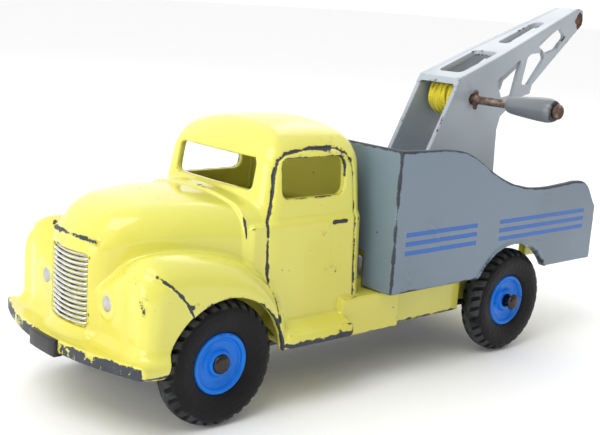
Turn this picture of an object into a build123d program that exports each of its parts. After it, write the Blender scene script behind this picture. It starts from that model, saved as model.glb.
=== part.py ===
"""Die-cast toy tow truck: cab casting, rear body, crane with a winch, tin base, axles and wheels.

Row frame in millimetres: +X forward, +Y to the truck's left, +Z up.
The origin is on the ground, midway between the axles, on the truck's centre plane.
"""

from build123d import *
import os

os.makedirs("parts", exist_ok=True)

# ---------------------------------------------------------------- driving dimensions
WHEELBASE = 69.0
AXLE_X = WHEELBASE / 2
AXLE_Z = 10.0
AXLE_RADIUS = 1.1
RUNNING_GAP = 0.06
HEAD_RADIUS = 1.55

TYRE_RADIUS = 10.0
TYRE_INNER = 13.9
TYRE_OUTER = 18.7
BEAD_RADIUS = 4.5
FLANGE_RADIUS = 4.9
HUB_FACE = 18.0

RAIL_INNER = 10.9
RAIL_OUTER = 12.6
RAIL_BOTTOM = 9.9
LUG_BOTTOM = 8.0
DECK_TOP = 22.5
DECK_BOTTOM = 21.0
RAIL_REAR = -42.0
FRAME_HALF = 17.0
FRAME_REAR = -5.0
FRAME_FRONT = 8.2
FRAME_BOTTOM = 9.4
SILL_HALF = 15.0
SILL_REAR = -23.6
SILL_BOTTOM = 9.0

CAB_REAR = 3.4
CAB_FRONT = 28.0
CAB_HALF = 15.0
SILL_Z = 14.2
WAIST_Z = 31.0
WALL = 1.5
WINDOW_X = 14.9
WINDOW_Z = 36.6
WINDSCREEN_Z = 36.9

BUMPER_FRONT = 54.4
BUMPER_TIP = 50.2
BUMPER_HALF = 20.5
BUMPER_BOTTOM = 10.7
BUMPER_TOP = 13.0
BUMPER_DEPTH = 1.8
PLATE_HALF = 3.85
PLATE_BOTTOM = 10.3

BOARD_REAR = 7.7
BOARD_LENGTH = 17.0
BOARD_HALF = 19.5
BOARD_LIP = 10.5
BOARD_EDGE = 12.2

ARCH_RADIUS = 11.0
ARCH_INNER = RAIL_OUTER
WING_HALF = 19.7

BODY_FRONT = 0.7
BODY_REAR = -58.0
BODY_HALF = 20.2
BODY_BOTTOM = 16.3
BODY_WALL = 1.3
BODY_ARCH = 11.8
BODY_ARCH_X = -32.4
FLOOR_BOTTOM = 22.55
FLOOR_TOP = 24.0

CRANE_HALF = 5.2
CRANE_TIP_HALF = 2.8
CRANE_PLATE = 1.0
TIP_PIN_X = -68.8
TIP_PIN_Z = 63.2
TIP_PIN_RADIUS = 0.6
WINCH_X = -33.9
WINCH_Z = 47.3
SPINDLE_RADIUS = 0.82

BASE_BOTTOM = 8.0
BASE_THICK = 0.6
BASE_HALF = 10.7
BASE_FRONT = 46.0
BASE_REAR = -40.6

POST_X = 17.0
WEB_Z = 13.2
POST_RADIUS = 2.2
RIVET_RADIUS = 0.9
RIVET_HEAD = 1.6
BODY_RIVETS = ((-6.0, 7.0), (-6.0, -7.0), (-52.0, 7.0), (-52.0, -7.0))
CRANE_RIVETS = ((-20.0, 7.3), (-20.0, -7.3), (-38.0, 7.3), (-38.0, -7.3))


def arch_section(x, half_width, z_low, z_side, z_top):
    """A closed section across the truck at x: flat sill, upright sides and a crowned top."""
    with BuildSketch(Plane.YZ.offset(x)) as section:
        with BuildLine():
            Line((half_width, z_low), (half_width, z_side))
            Spline(
                (half_width, z_side),
                (0, z_top),
                (-half_width, z_side),
                tangents=[(0, 1), (0, -1)],
            )
            Line((-half_width, z_side), (-half_width, z_low))
            Line((-half_width, z_low), (half_width, z_low))
        make_face()
    return section


def level_section(z, x_rear, x_front, half_width, corner):
    """A closed section level with the ground at z: a rectangle with round corners."""
    with BuildSketch(Plane.XY.offset(z)) as section:
        with Locations(((x_rear + x_front) / 2, 0)):
            RectangleRounded(x_front - x_rear, 2 * half_width, corner)
    return section


# ---------------------------------------------------------------- cab casting
# stations of the bonnet from the grille to the scuttle: x, half width, side height, crown height
BONNET = (
    (51.2, 5.6, 20.0, 27.0), (48.6, 7.0, 23.5, 31.2), (41.0, 9.8, 25.5, 33.1), (CAB_FRONT, 13.8, 27.0, 33.7),
)
# levels of the cab from its waist to the roof: height, rear x, front x, half width, corner radius
CAB = (
    (WAIST_Z, CAB_REAR, CAB_FRONT - 1.6, CAB_HALF, 3.0),
    (36.4, CAB_REAR + 0.3, CAB_FRONT - 2.8, CAB_HALF - 0.5, 3.0),
    (40.6, CAB_REAR + 1.0, CAB_FRONT - 4.2, CAB_HALF - 1.5, 3.0),
    (43.0, CAB_REAR + 2.2, CAB_FRONT - 5.8, CAB_HALF - 3.4, 3.0),
    (44.4, CAB_REAR + 4.4, CAB_FRONT - 8.4, CAB_HALF - 6.4, 3.0),
    (44.9, CAB_REAR + 6.0, CAB_FRONT - 11.0, CAB_HALF - 9.0, 3.0),
)

outer_bonnet = [arch_section(x, w, 14.0, s, t) for x, w, s, t in BONNET]
inner_bonnet = [arch_section(x - WALL, w - WALL, 8.0, s - WALL, t - WALL) for x, w, s, t in BONNET]
outer_cab = [level_section(*level) for level in CAB]
inner_cab = []
for z, rear, front, half_width, corner in CAB:
    inner_z = max(WAIST_Z, z - 1.2)
    inner_cab.append(level_section(inner_z, rear + WALL, front - WALL, half_width - WALL, corner - 1.0))


def wing_section(y, inset):
    """The side outline of a wing at y, drawn in by inset along its crown."""
    with BuildSketch(Plane.XZ.offset(-y)) as section:
        with BuildLine():
            Line((22.4, 12.0), (48.6, 12.0))
            Spline(
                (48.6, 12.0), (48.9 - 0.4 * inset, 19.0), (48.4 - 0.5 * inset, 24.6 - 0.8 * inset),
                (44.6 - 0.3 * inset, 27.0 - inset), (37.0, 26.8 - inset), (29.6, 24.6 - inset),
                (24.6, 19.8 - 0.8 * inset), (22.4, 12.0),
            )
        make_face()
    return section


# one wing: its crown falls away towards its outer side
WING_STATIONS = ((0.0, 0.0), (13.0, 0.1), (17.4, 1.0), (WING_HALF, 4.2))
wing_sections = [wing_section(y, inset) for y, inset in WING_STATIONS]
with BuildPart() as wings:
    loft([section.sketch for section in wing_sections])
    mirror(about=Plane.XZ)

with BuildPart() as cab_casting:
    loft([section.sketch for section in outer_bonnet])
    extrude(outer_bonnet[-1].sketch, amount=-4.0)
    extrude(level_section(SILL_Z, CAB_REAR, CAB_FRONT, CAB_HALF, 3.0).sketch, amount=WAIST_Z - SILL_Z)
    loft([section.sketch for section in outer_cab])
    # wings
    add(wings.part)
    # running boards with a turned-down lip, and the sill under the doors
    with BuildSketch(Plane.YZ.offset(BOARD_REAR)):
        with BuildLine():
            Polyline(
                (-BOARD_HALF, BOARD_LIP), (-BOARD_HALF, BOARD_EDGE), (-CAB_HALF, SILL_Z + 0.1),
                (CAB_HALF, SILL_Z + 0.1), (BOARD_HALF, BOARD_EDGE), (BOARD_HALF, BOARD_LIP), close=True,
            )
        make_face()
    extrude(amount=BOARD_LENGTH)
    # chassis: broad frame behind the cab, sill ahead of the rear wheels, rails, then the deck to the tail
    frame_top = BODY_BOTTOM - 0.1
    with Locations(((FRAME_REAR + FRAME_FRONT) / 2, 0, (FRAME_BOTTOM + frame_top) / 2)):
        Box(FRAME_FRONT - FRAME_REAR, 2 * FRAME_HALF, frame_top - FRAME_BOTTOM)
    with Locations(((SILL_REAR + FRAME_REAR) / 2, 0, (SILL_BOTTOM + frame_top) / 2)):
        Box(FRAME_REAR - SILL_REAR, 2 * SILL_HALF, frame_top - SILL_BOTTOM)
    with Locations(((CAB_REAR + RAIL_REAR) / 2, 0, (RAIL_BOTTOM + DECK_TOP) / 2)):
        Box(CAB_REAR - RAIL_REAR, 2 * RAIL_OUTER, DECK_TOP - RAIL_BOTTOM)
    deck_rear = BODY_REAR + 2.0
    with Locations(((RAIL_REAR + deck_rear) / 2, 0, (frame_top + DECK_TOP) / 2)):
        Box(RAIL_REAR - deck_rear, 2 * RAIL_OUTER, DECK_TOP - frame_top)
    for side_x in (AXLE_X, -AXLE_X):
        with Locations((side_x, 0, (LUG_BOTTOM + 16.0) / 2)):
            Box(8.0, 2 * RAIL_OUTER, 16.0 - LUG_BOTTOM)
    # everything inside is hollow
    loft([section.sketch for section in inner_bonnet], mode=Mode.SUBTRACT)
    cab_floor = level_section(SILL_Z, CAB_REAR + WALL, CAB_FRONT - WALL, CAB_HALF - WALL, 2.0)
    extrude(cab_floor.sketch, amount=WAIST_Z - SILL_Z, mode=Mode.SUBTRACT)
    loft([section.sketch for section in inner_cab], mode=Mode.SUBTRACT)
    with Locations(((CAB_REAR + WALL + 47.0) / 2, 0, (LUG_BOTTOM - 1 + 20.0) / 2)):
        Box(47.0 - CAB_REAR - WALL, 2 * RAIL_INNER, 21.0 - LUG_BOTTOM, mode=Mode.SUBTRACT)
    rail_hollow = CAB_REAR + 2 - RAIL_REAR - WALL
    with Locations(((CAB_REAR + 2 + RAIL_REAR + WALL) / 2, 0, (LUG_BOTTOM - 1 + DECK_BOTTOM) / 2)):
        Box(rail_hollow, 2 * RAIL_INNER, DECK_BOTTOM - LUG_BOTTOM + 1, mode=Mode.SUBTRACT)
    deck_hollow = RAIL_REAR - deck_rear - WALL
    with Locations((RAIL_REAR - deck_hollow / 2, 0, DECK_BOTTOM / 2)):
        Box(deck_hollow, 2 * RAIL_INNER, DECK_BOTTOM, mode=Mode.SUBTRACT)
    with Locations(((SILL_REAR + FRAME_FRONT) / 2, 0, (frame_top - WALL) / 2)):
        Box(FRAME_FRONT - SILL_REAR - 2 * WALL, 2 * (SILL_HALF - WALL), frame_top - WALL, mode=Mode.SUBTRACT)
    # wheel housings
    for side in (1, -1):
        with Locations((AXLE_X, side * (ARCH_INNER + 4.5), AXLE_Z)):
            Cylinder(ARCH_RADIUS, 9.0, rotation=(90, 0, 0), mode=Mode.SUBTRACT)
        with Locations((AXLE_X, side * (ARCH_INNER + 4.5), AXLE_Z / 2)):
            Box(2 * ARCH_RADIUS - 0.4, 9.0, AXLE_Z, mode=Mode.SUBTRACT)
    # door windows, then the windscreen
    with BuildSketch(Plane.XZ):
        with Locations((WINDOW_X, WINDOW_Z)):
            RectangleRounded(12.4, 6.4, 1.6)
    extrude(amount=20, both=True, mode=Mode.SUBTRACT)
    with BuildSketch(Plane.YZ.offset(20.0)):
        with Locations((0, WINDSCREEN_Z)):
            RectangleRounded(19.0, 5.0, 1.2)
    extrude(amount=12, mode=Mode.SUBTRACT)
    # bowed bumper with a plate block at its middle
    with BuildSketch(Plane.XY.offset(BUMPER_BOTTOM)):
        with BuildLine():
            ThreePointArc((BUMPER_TIP, BUMPER_HALF), (BUMPER_FRONT, 0), (BUMPER_TIP, -BUMPER_HALF))
            Line((BUMPER_TIP, -BUMPER_HALF), (BUMPER_TIP - BUMPER_DEPTH, -BUMPER_HALF))
            ThreePointArc(
                (BUMPER_TIP - BUMPER_DEPTH, -BUMPER_HALF), (BUMPER_FRONT - BUMPER_DEPTH, 0),
                (BUMPER_TIP - BUMPER_DEPTH, BUMPER_HALF),
            )
            Line((BUMPER_TIP - BUMPER_DEPTH, BUMPER_HALF), (BUMPER_TIP, BUMPER_HALF))
        make_face()
    extrude(amount=BUMPER_TOP - BUMPER_BOTTOM)
    with Locations((BUMPER_FRONT - 0.4, 0, (PLATE_BOTTOM + BUMPER_TOP) / 2)):
        Box(2.0, 2 * PLATE_HALF, BUMPER_TOP - PLATE_BOTTOM)
    # apron that joins the bumper to the wings
    with Locations((49.9, 0, 12.9)):
        Box(6.4, 34.0, 2.4)
    # axle bearings
    for side_x in (AXLE_X, -AXLE_X):
        with Locations((side_x, 0, AXLE_Z)):
            Cylinder(AXLE_RADIUS + RUNNING_GAP, 40.0, rotation=(90, 0, 0), mode=Mode.SUBTRACT)
    # cross web under the cab, and round posts that the base is riveted to
    with Locations((POST_X, 0, WEB_Z)):
        Box(6.0, 2 * RAIL_INNER + 1.0, 1.6)
    for post_x, post_top in ((POST_X, WEB_Z), (-POST_X, DECK_BOTTOM + 0.5)):
        with Locations((post_x, 0, (BASE_BOTTOM + BASE_THICK + post_top) / 2)):
            Cylinder(POST_RADIUS, post_top - BASE_BOTTOM - BASE_THICK)
            Cylinder(RIVET_RADIUS, post_top - BASE_BOTTOM, mode=Mode.SUBTRACT)
    # rivet holes through the deck
    for hole_x, hole_y in BODY_RIVETS + CRANE_RIVETS:
        with Locations((hole_x, hole_y, DECK_TOP)):
            Cylinder(RIVET_RADIUS, 8.0, mode=Mode.SUBTRACT)
cab_casting.part.label = "cab_casting"
export_step(cab_casting.part, "parts/cab_casting.step")


# ---------------------------------------------------------------- tin base plate
with BuildPart() as base_plate:
    with BuildSketch(Plane.XY.offset(BASE_BOTTOM)):
        with Locations(((BASE_FRONT + BASE_REAR) / 2, 0)):
            RectangleRounded(BASE_FRONT - BASE_REAR, 2 * BASE_HALF, 2.5)
    extrude(amount=BASE_THICK)
    # end walls turned up behind the bumper and inside the tail
    for end_x in (BASE_FRONT - BASE_THICK / 2, BASE_REAR + BASE_THICK / 2):
        with Locations((end_x, 0, BASE_BOTTOM + 1.2)):
            Box(BASE_THICK, 2 * BASE_HALF - 6.0, 2.4)
    # countersunk holes for the rivets
    for post_x in (POST_X, -POST_X):
        with Locations((post_x, 0, BASE_BOTTOM + BASE_THICK / 2)):
            Cone(RIVET_HEAD, RIVET_RADIUS, BASE_THICK, mode=Mode.SUBTRACT)
base_plate.part.label = "base_plate"
export_step(base_plate.part, "parts/base_plate.step")

with BuildPart() as base_rivets:
    for post_x in (POST_X, -POST_X):
        with Locations((post_x, 0, BASE_BOTTOM + BASE_THICK / 2)):
            Cone(RIVET_HEAD, RIVET_RADIUS, BASE_THICK)
        with Locations((post_x, 0, BASE_BOTTOM + BASE_THICK + 2.2)):
            Cylinder(RIVET_RADIUS, 4.4)
base_rivets.part.label = "base_rivets"
export_step(base_rivets.part, "parts/base_rivets.step")


# ---------------------------------------------------------------- rear body
# top edge of a side, from the bulkhead to the tail
SIDE_TOP = ((BODY_FRONT, 41.0), (-12.4, 40.5), (-17.6, 39.5), (-23.0, 36.6), (-29.2, 33.7), (-37.0, 32.3),
            (-48.0, 32.5), (-54.0, 32.0), (-56.6, 28.6), (BODY_REAR, 27.0))
BODY_MIDDLE = (BODY_FRONT + BODY_REAR) / 2
BED_LENGTH = BODY_FRONT - BODY_REAR - 2 * BODY_WALL
BED_WIDTH = 2 * (BODY_HALF - BODY_WALL)
ABOVE_ALL = 50.0
with BuildPart() as rear_body:
    with BuildSketch(Plane.XZ):
        with BuildLine():
            Line((BODY_REAR, BODY_BOTTOM), (BODY_FRONT, BODY_BOTTOM))
            Line((BODY_FRONT, BODY_BOTTOM), SIDE_TOP[0])
            Line(SIDE_TOP[0], SIDE_TOP[1])
            Spline(SIDE_TOP[1:7])
            Spline(SIDE_TOP[6:])
            Line(SIDE_TOP[-1], (BODY_REAR, BODY_BOTTOM))
        make_face()
    extrude(amount=BODY_HALF, both=True)
    # open load bed above the floor, and the space below it
    with Locations((BODY_MIDDLE, 0, (FLOOR_TOP + ABOVE_ALL) / 2)):
        Box(BED_LENGTH, BED_WIDTH, ABOVE_ALL - FLOOR_TOP, mode=Mode.SUBTRACT)
    with Locations((BODY_MIDDLE, 0, FLOOR_BOTTOM / 2)):
        Box(BED_LENGTH, BED_WIDTH, FLOOR_BOTTOM, mode=Mode.SUBTRACT)
    # the bulkhead and the tail stand astride the chassis
    with Locations((BODY_MIDDLE, 0, FLOOR_BOTTOM / 2)):
        Box(BODY_FRONT - BODY_REAR + 2.0, 2 * RAIL_OUTER + 0.2, FLOOR_BOTTOM, mode=Mode.SUBTRACT)
    # wheel arches
    with Locations((BODY_ARCH_X, 0, AXLE_Z)):
        Cylinder(BODY_ARCH, 50.0, rotation=(90, 0, 0), mode=Mode.SUBTRACT)
    # rivet holes
    for hole_x, hole_y in BODY_RIVETS + CRANE_RIVETS:
        with Locations((hole_x, hole_y, FLOOR_TOP)):
            Cylinder(RIVET_RADIUS, 6.0, mode=Mode.SUBTRACT)
rear_body.part.label = "rear_body"
export_step(rear_body.part, "parts/rear_body.step")


def rivets(places, grip_bottom, grip_top):
    """Rivets through a stack of plates, with a low domed head at each end."""
    with BuildPart() as group:
        for rivet_x, rivet_y in places:
            with Locations((rivet_x, rivet_y, (grip_bottom + grip_top) / 2)):
                Cylinder(RIVET_RADIUS, grip_top - grip_bottom)
            for head_z, up in ((grip_top, 1), (grip_bottom, -1)):
                with Locations((rivet_x, rivet_y, head_z + up * 0.3)):
                    Cone(RIVET_HEAD if up > 0 else 1.0, 1.0 if up > 0 else RIVET_HEAD, 0.6)
    return group


body_rivets = rivets(BODY_RIVETS, DECK_BOTTOM, FLOOR_TOP)
body_rivets.part.label = "body_rivets"
export_step(body_rivets.part, "parts/body_rivets.step")


# ---------------------------------------------------------------- crane
FOOT_TOP = FLOOR_TOP + 1.2
SIDE_PLATE = ((-15.2, FLOOR_TOP), (-29.8, 51.3), (-69.2, 65.9), (-71.0, 65.4), (-71.4, 63.4), (-71.2, 62.4),
              (-53.9, 49.8), (-53.4, 48.0), (-49.6, 47.3), (-45.2, 44.8), (-43.4, 43.6), (-42.6, 41.0),
              (-43.4, FLOOR_TOP))
JIB_OPENINGS = (
    ((-41.8, 50.6), (-48.4, 54.3), (-46.6, 48.2), (-43.4, 47.8)),
    ((-51.8, 55.6), (-56.4, 56.0), (-57.0, 55.2), (-52.2, 50.3), (-50.4, 50.4)),
    ((-55.6, 57.9), (-62.4, 61.0), (-64.0, 59.8), (-61.4, 57.6), (-58.0, 56.8)),
)
OPENING_CORNER = 0.45
WEB_SLOTS = ((-37.9, 10.8, 2.85), (-54.1, 12.0, 1.3))


def jib_plan(half_width, tip_half_width):
    """The crane seen from above, as a sketch below it: parallel plates, then narrower towards the tip."""
    with BuildSketch(Plane.XY.offset(20.0)) as plan:
        with BuildLine():
            Polyline(
                (-10.0, half_width), (-42.0, half_width), (-73.0, tip_half_width),
                (-73.0, -tip_half_width), (-42.0, -half_width), (-10.0, -half_width), close=True,
            )
        make_face()
    return plan


# the space between the plates, under the sloping top web
with BuildPart() as under_web:
    with BuildSketch(Plane.XZ):
        with BuildLine():
            Polyline(
                (-5.0, 20.0), (-28.0, 50.8), (-30.0, 50.3), (-69.4, 64.8), (-75.0, 66.0), (-75.0, 20.0), close=True,
            )
        make_face()
    extrude(amount=10.0, both=True)
    extrude(jib_plan(CRANE_HALF - CRANE_PLATE, CRANE_TIP_HALF - CRANE_PLATE).sketch, amount=50.0,
            mode=Mode.INTERSECT)

with BuildPart() as crane_frame:
    with BuildSketch(Plane.XZ):
        with BuildLine():
            Polyline(*SIDE_PLATE, close=True)
        make_face()
    extrude(amount=CRANE_HALF, both=True)
    extrude(jib_plan(CRANE_HALF, CRANE_TIP_HALF).sketch, amount=50.0, mode=Mode.INTERSECT)
    add(under_web.part, mode=Mode.SUBTRACT)
    for opening in JIB_OPENINGS:
        with BuildSketch(Plane.XZ):
            with BuildLine():
                Polyline(*opening, close=True)
            make_face()
            offset(amount=OPENING_CORNER)
        extrude(amount=10.0, both=True, mode=Mode.SUBTRACT)
    # openings in the top web
    for slot_x, slot_length, slot_half in WEB_SLOTS:
        with BuildSketch(Plane.XY.offset(45.0)):
            with Locations((slot_x, 0)):
                RectangleRounded(slot_length, 2 * slot_half, 1.2)
        extrude(amount=25.0, mode=Mode.SUBTRACT)
    # feet on the bed floor
    with Locations((-29.3, 0, (FLOOR_TOP + FOOT_TOP) / 2)):
        Box(28.2, 18.6, FOOT_TOP - FLOOR_TOP)
        Box(29.0, 2 * (CRANE_HALF - CRANE_PLATE), 3.0, mode=Mode.SUBTRACT)
    for hole_x, hole_y in CRANE_RIVETS:
        with Locations((hole_x, hole_y, FLOOR_TOP)):
            Cylinder(RIVET_RADIUS, 6.0, mode=Mode.SUBTRACT)
    # winch bearings
    with Locations((WINCH_X, 0, WINCH_Z)):
        Cylinder(SPINDLE_RADIUS + RUNNING_GAP, 20.0, rotation=(90, 0, 0), mode=Mode.SUBTRACT)
    # hole for the pin across the tip
    with Locations((TIP_PIN_X, 0, TIP_PIN_Z)):
        Cylinder(TIP_PIN_RADIUS, 20.0, rotation=(90, 0, 0), mode=Mode.SUBTRACT)
crane_frame.part.label = "crane_frame"
export_step(crane_frame.part, "parts/crane_frame.step")

crane_rivets = rivets(CRANE_RIVETS, DECK_BOTTOM, FOOT_TOP)
crane_rivets.part.label = "crane_rivets"
export_step(crane_rivets.part, "parts/crane_rivets.step")

with BuildPart() as jib_tip_pin:
    with Locations((TIP_PIN_X, 0, TIP_PIN_Z)):
        Cylinder(TIP_PIN_RADIUS, 2 * CRANE_TIP_HALF + 1.0, rotation=(90, 0, 0))
jib_tip_pin.part.label = "jib_tip_pin"
export_step(jib_tip_pin.part, "parts/jib_tip_pin.step")


# ---------------------------------------------------------------- winch
KNOB_START = 14.0
KNOB_END = 24.5
SPINDLE_END = 25.6
EAR_START = CRANE_HALF + 0.3


def round_piece(profile, x, z):
    """A solid turned about a cross axis at x, z from (radius, y) points."""
    with BuildPart() as piece:
        with BuildSketch(Plane((x, 0, z), x_dir=(1, 0, 0), z_dir=(0, 0, 1))):
            with BuildLine():
                Polyline(*profile, close=True)
            make_face()
        revolve(axis=Axis((x, 0, z), (0, 1, 0)))
    return piece


with BuildPart() as winch_spindle:
    with Locations((WINCH_X, (SPINDLE_END - 7.0) / 2, WINCH_Z)):
        Cylinder(SPINDLE_RADIUS, SPINDLE_END + 7.0, rotation=(90, 0, 0))
    fillet(winch_spindle.edges().filter_by(GeomType.CIRCLE), 0.35)
    # ears squeezed out of the shaft just outside each plate
    for ear_y in (EAR_START + 0.5, -EAR_START - 0.5):
        with Locations((WINCH_X, ear_y, WINCH_Z)):
            Box(0.9, 1.0, 3.8)
winch_spindle.part.label = "winch_spindle"
export_step(winch_spindle.part, "parts/winch_spindle.step")

winch_knob = round_piece(
    ((SPINDLE_RADIUS, KNOB_START), (1.5, KNOB_START), (1.75, KNOB_START + 0.6), (2.0, 18.0), (2.25, 21.6),
     (2.2, 23.2), (1.7, KNOB_END), (SPINDLE_RADIUS, KNOB_END)),
    WINCH_X, WINCH_Z,
)
winch_knob.part.label = "winch_knob"
export_step(winch_knob.part, "parts/winch_knob.step")

winch_cord = round_piece(
    ((SPINDLE_RADIUS, -3.8), (2.6, -3.8), (3.6, -2.6), (3.9, 0.0), (3.5, 2.4), (2.6, 3.8), (SPINDLE_RADIUS, 3.8)),
    WINCH_X, WINCH_Z,
)
winch_cord.part.label = "winch_cord"
export_step(winch_cord.part, "parts/winch_cord.step")


# ---------------------------------------------------------------- axles and wheels
def turned(profile, axle_x, side):
    """A solid turned about an axle from (radius, distance from the centre plane) points."""
    return round_piece([(radius, side * y) for radius, y in profile], axle_x, AXLE_Z)


AXLES = {"front": (AXLE_X, 0.6), "rear": (-AXLE_X, 2.0)}
for end, (axle_x, reach) in AXLES.items():
    head = HUB_FACE + reach
    with BuildPart() as axle:
        with Locations((axle_x, 0, AXLE_Z)):
            Cylinder(AXLE_RADIUS, 2 * (head - 0.5), rotation=(90, 0, 0))
        for side in (1, -1):
            with Locations((axle_x, side * (head - 0.3), AXLE_Z)):
                Cylinder(HEAD_RADIUS, 0.5, rotation=(90, 0, 0))
        fillet(axle.edges().filter_by(GeomType.CIRCLE).group_by(Axis.Y)[-1], 0.35)
        fillet(axle.edges().filter_by(GeomType.CIRCLE).group_by(Axis.Y)[0], 0.35)
    axle.part.label = f"{end}_axle"
    export_step(axle.part, f"parts/{end}_axle.step")
    for side_name, side in (("left", 1), ("right", -1)):
        bore = AXLE_RADIUS + RUNNING_GAP
        hub = turned(
            ((bore, RAIL_OUTER + 0.2), (2.3, RAIL_OUTER + 0.2), (2.3, 14.4), (FLANGE_RADIUS, 14.6),
             (FLANGE_RADIUS, 15.3), (BEAD_RADIUS - 0.04, 15.35), (BEAD_RADIUS - 0.04, 17.25),
             (FLANGE_RADIUS, 17.3), (FLANGE_RADIUS, HUB_FACE - 0.25), (FLANGE_RADIUS - 0.25, HUB_FACE),
             (4.2, HUB_FACE), (3.9, 17.45), (2.4, 17.2), (2.1, 17.6), (2.0, HUB_FACE - 0.1), (bore, HUB_FACE - 0.1)),
            axle_x, side,
        )
        hub.part.label = f"hub_{end}_{side_name}"
        export_step(hub.part, f"parts/hub_{end}_{side_name}.step")
        tyre = turned(
            ((BEAD_RADIUS, 15.4), (BEAD_RADIUS, 17.2), (FLANGE_RADIUS + 0.1, 17.2), (FLANGE_RADIUS + 0.2, HUB_FACE),
             (6.2, 18.4), (7.9, TYRE_OUTER), (9.2, TYRE_OUTER - 0.2), (TYRE_RADIUS - 0.15, 17.6),
             (TYRE_RADIUS, 16.3), (TYRE_RADIUS - 0.15, 15.0), (9.2, TYRE_INNER + 0.2), (7.9, TYRE_INNER),
             (6.2, TYRE_INNER + 0.3), (FLANGE_RADIUS + 0.2, 14.6), (FLANGE_RADIUS + 0.1, 15.4)),
            axle_x, side,
        )
        tyre.part.label = f"tyre_{end}_{side_name}"
        export_step(tyre.part, f"parts/tyre_{end}_{side_name}.step")
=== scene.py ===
"""Builds the looks of an enamelled die-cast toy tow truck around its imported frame.

Row frame in metres: +X forward, +Y to the truck's left, +Z up, origin on the ground between the axles.
Shapes are worked out in millimetres and made metres as their meshes are written.
"""

import bmesh
import bpy
import numpy as np
from mathutils import Matrix, Vector


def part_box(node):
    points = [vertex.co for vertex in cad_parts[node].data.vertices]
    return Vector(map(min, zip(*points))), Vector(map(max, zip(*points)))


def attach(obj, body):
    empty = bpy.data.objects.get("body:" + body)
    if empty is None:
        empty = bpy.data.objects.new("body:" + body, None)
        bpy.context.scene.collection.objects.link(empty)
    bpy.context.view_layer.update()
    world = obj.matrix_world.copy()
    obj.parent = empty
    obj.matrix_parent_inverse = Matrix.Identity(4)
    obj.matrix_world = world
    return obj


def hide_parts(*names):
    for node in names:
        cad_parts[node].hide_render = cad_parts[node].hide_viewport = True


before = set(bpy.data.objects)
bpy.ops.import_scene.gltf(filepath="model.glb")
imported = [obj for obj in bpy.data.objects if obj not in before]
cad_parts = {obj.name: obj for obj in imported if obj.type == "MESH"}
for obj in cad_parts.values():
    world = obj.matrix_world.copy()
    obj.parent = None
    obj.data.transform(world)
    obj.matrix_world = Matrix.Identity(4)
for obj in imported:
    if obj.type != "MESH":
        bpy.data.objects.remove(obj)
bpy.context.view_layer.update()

bl_info = {
    "name": "Die-cast tow truck",
    "version": (1, 0, 0),
    "blender": (4, 5, 0),
    "location": "View3D > Sidebar > Tow truck",
    "description": "Builds an enamelled toy tow truck, its crane and its wheels",
    "category": "Add Mesh",
}

MM = 0.001
SEED = 11


def box_mm(node):
    """The lowest and highest corners of a frame node, in millimetres."""
    low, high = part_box(node)
    return np.array(low) / MM, np.array(high) / MM


CASTING_HIGH = box_mm("cab_casting")[1]
BODY_LOW, BODY_HIGH = box_mm("rear_body")
CRANE_LOW, CRANE_HIGH = box_mm("crane_frame")
TYRE_LOW, TYRE_HIGH = box_mm("tyre_front_left")
HUB_HIGH = box_mm("hub_front_left")[1]
CORD_LOW, CORD_HIGH = box_mm("winch_cord")
KNOB_LOW, KNOB_HIGH = box_mm("winch_knob")
SPINDLE_LOW, SPINDLE_HIGH = box_mm("winch_spindle")

AXLE_X = (TYRE_LOW[0] + TYRE_HIGH[0]) / 2
AXLE_Z = (TYRE_LOW[2] + TYRE_HIGH[2]) / 2
WINCH_X = (CORD_LOW[0] + CORD_HIGH[0]) / 2
WINCH_Z = (CORD_LOW[2] + CORD_HIGH[2]) / 2
BUMPER_X = CASTING_HIGH[0] - 0.7
RAIL_HALF = 12.6


# ---------------------------------------------------------------- sizes and colours a user may change
class TowTruckSizes(bpy.types.PropertyGroup):
    """Sizes of details, in metres."""

    wall: bpy.props.FloatProperty(
        name="Casting wall", description="Thickness of the cab casting's skin",
        default=1.4 * MM, min=0.8 * MM, max=2.0 * MM, unit="LENGTH",
    )
    body_wall: bpy.props.FloatProperty(
        name="Body wall", description="Thickness of the rear body's sides",
        default=1.3 * MM, min=0.8 * MM, max=1.6 * MM, unit="LENGTH",
    )
    cord: bpy.props.FloatProperty(
        name="Cord", description="Thickness of the cord wound on the winch",
        default=0.75 * MM, min=0.4 * MM, max=1.0 * MM, unit="LENGTH",
    )
    grille_bars: bpy.props.IntProperty(
        name="Grille bars", description="Number of bars across the radiator grille",
        default=15, min=8, max=24,
    )


def colour_property(name, description, default):
    """A colour that a user may change."""
    return bpy.props.FloatVectorProperty(
        name=name, description=description, default=default,
        subtype="COLOR", size=3, min=0.0, max=1.0,
    )


class TowTruckColours(bpy.types.PropertyGroup):
    """Finishes, as linear colours."""

    yellow: colour_property("Cab enamel", "Lemon enamel of the cab casting", (0.71, 0.68, 0.125))
    grey: colour_property("Body enamel", "Blue-grey enamel of the rear body", (0.165, 0.225, 0.285))
    crane: colour_property("Crane enamel", "Paler grey enamel of the crane", (0.41, 0.46, 0.50))
    blue: colour_property("Hub enamel", "Bright blue enamel of the hubs and lines", (0.001, 0.19, 0.78))
    cord: colour_property("Cord", "Yellow cord on the winch", (1.0, 0.80, 0.015))
    bare: colour_property("Bare casting", "Dark metal where enamel has chipped away", (0.030, 0.034, 0.042))


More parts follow.
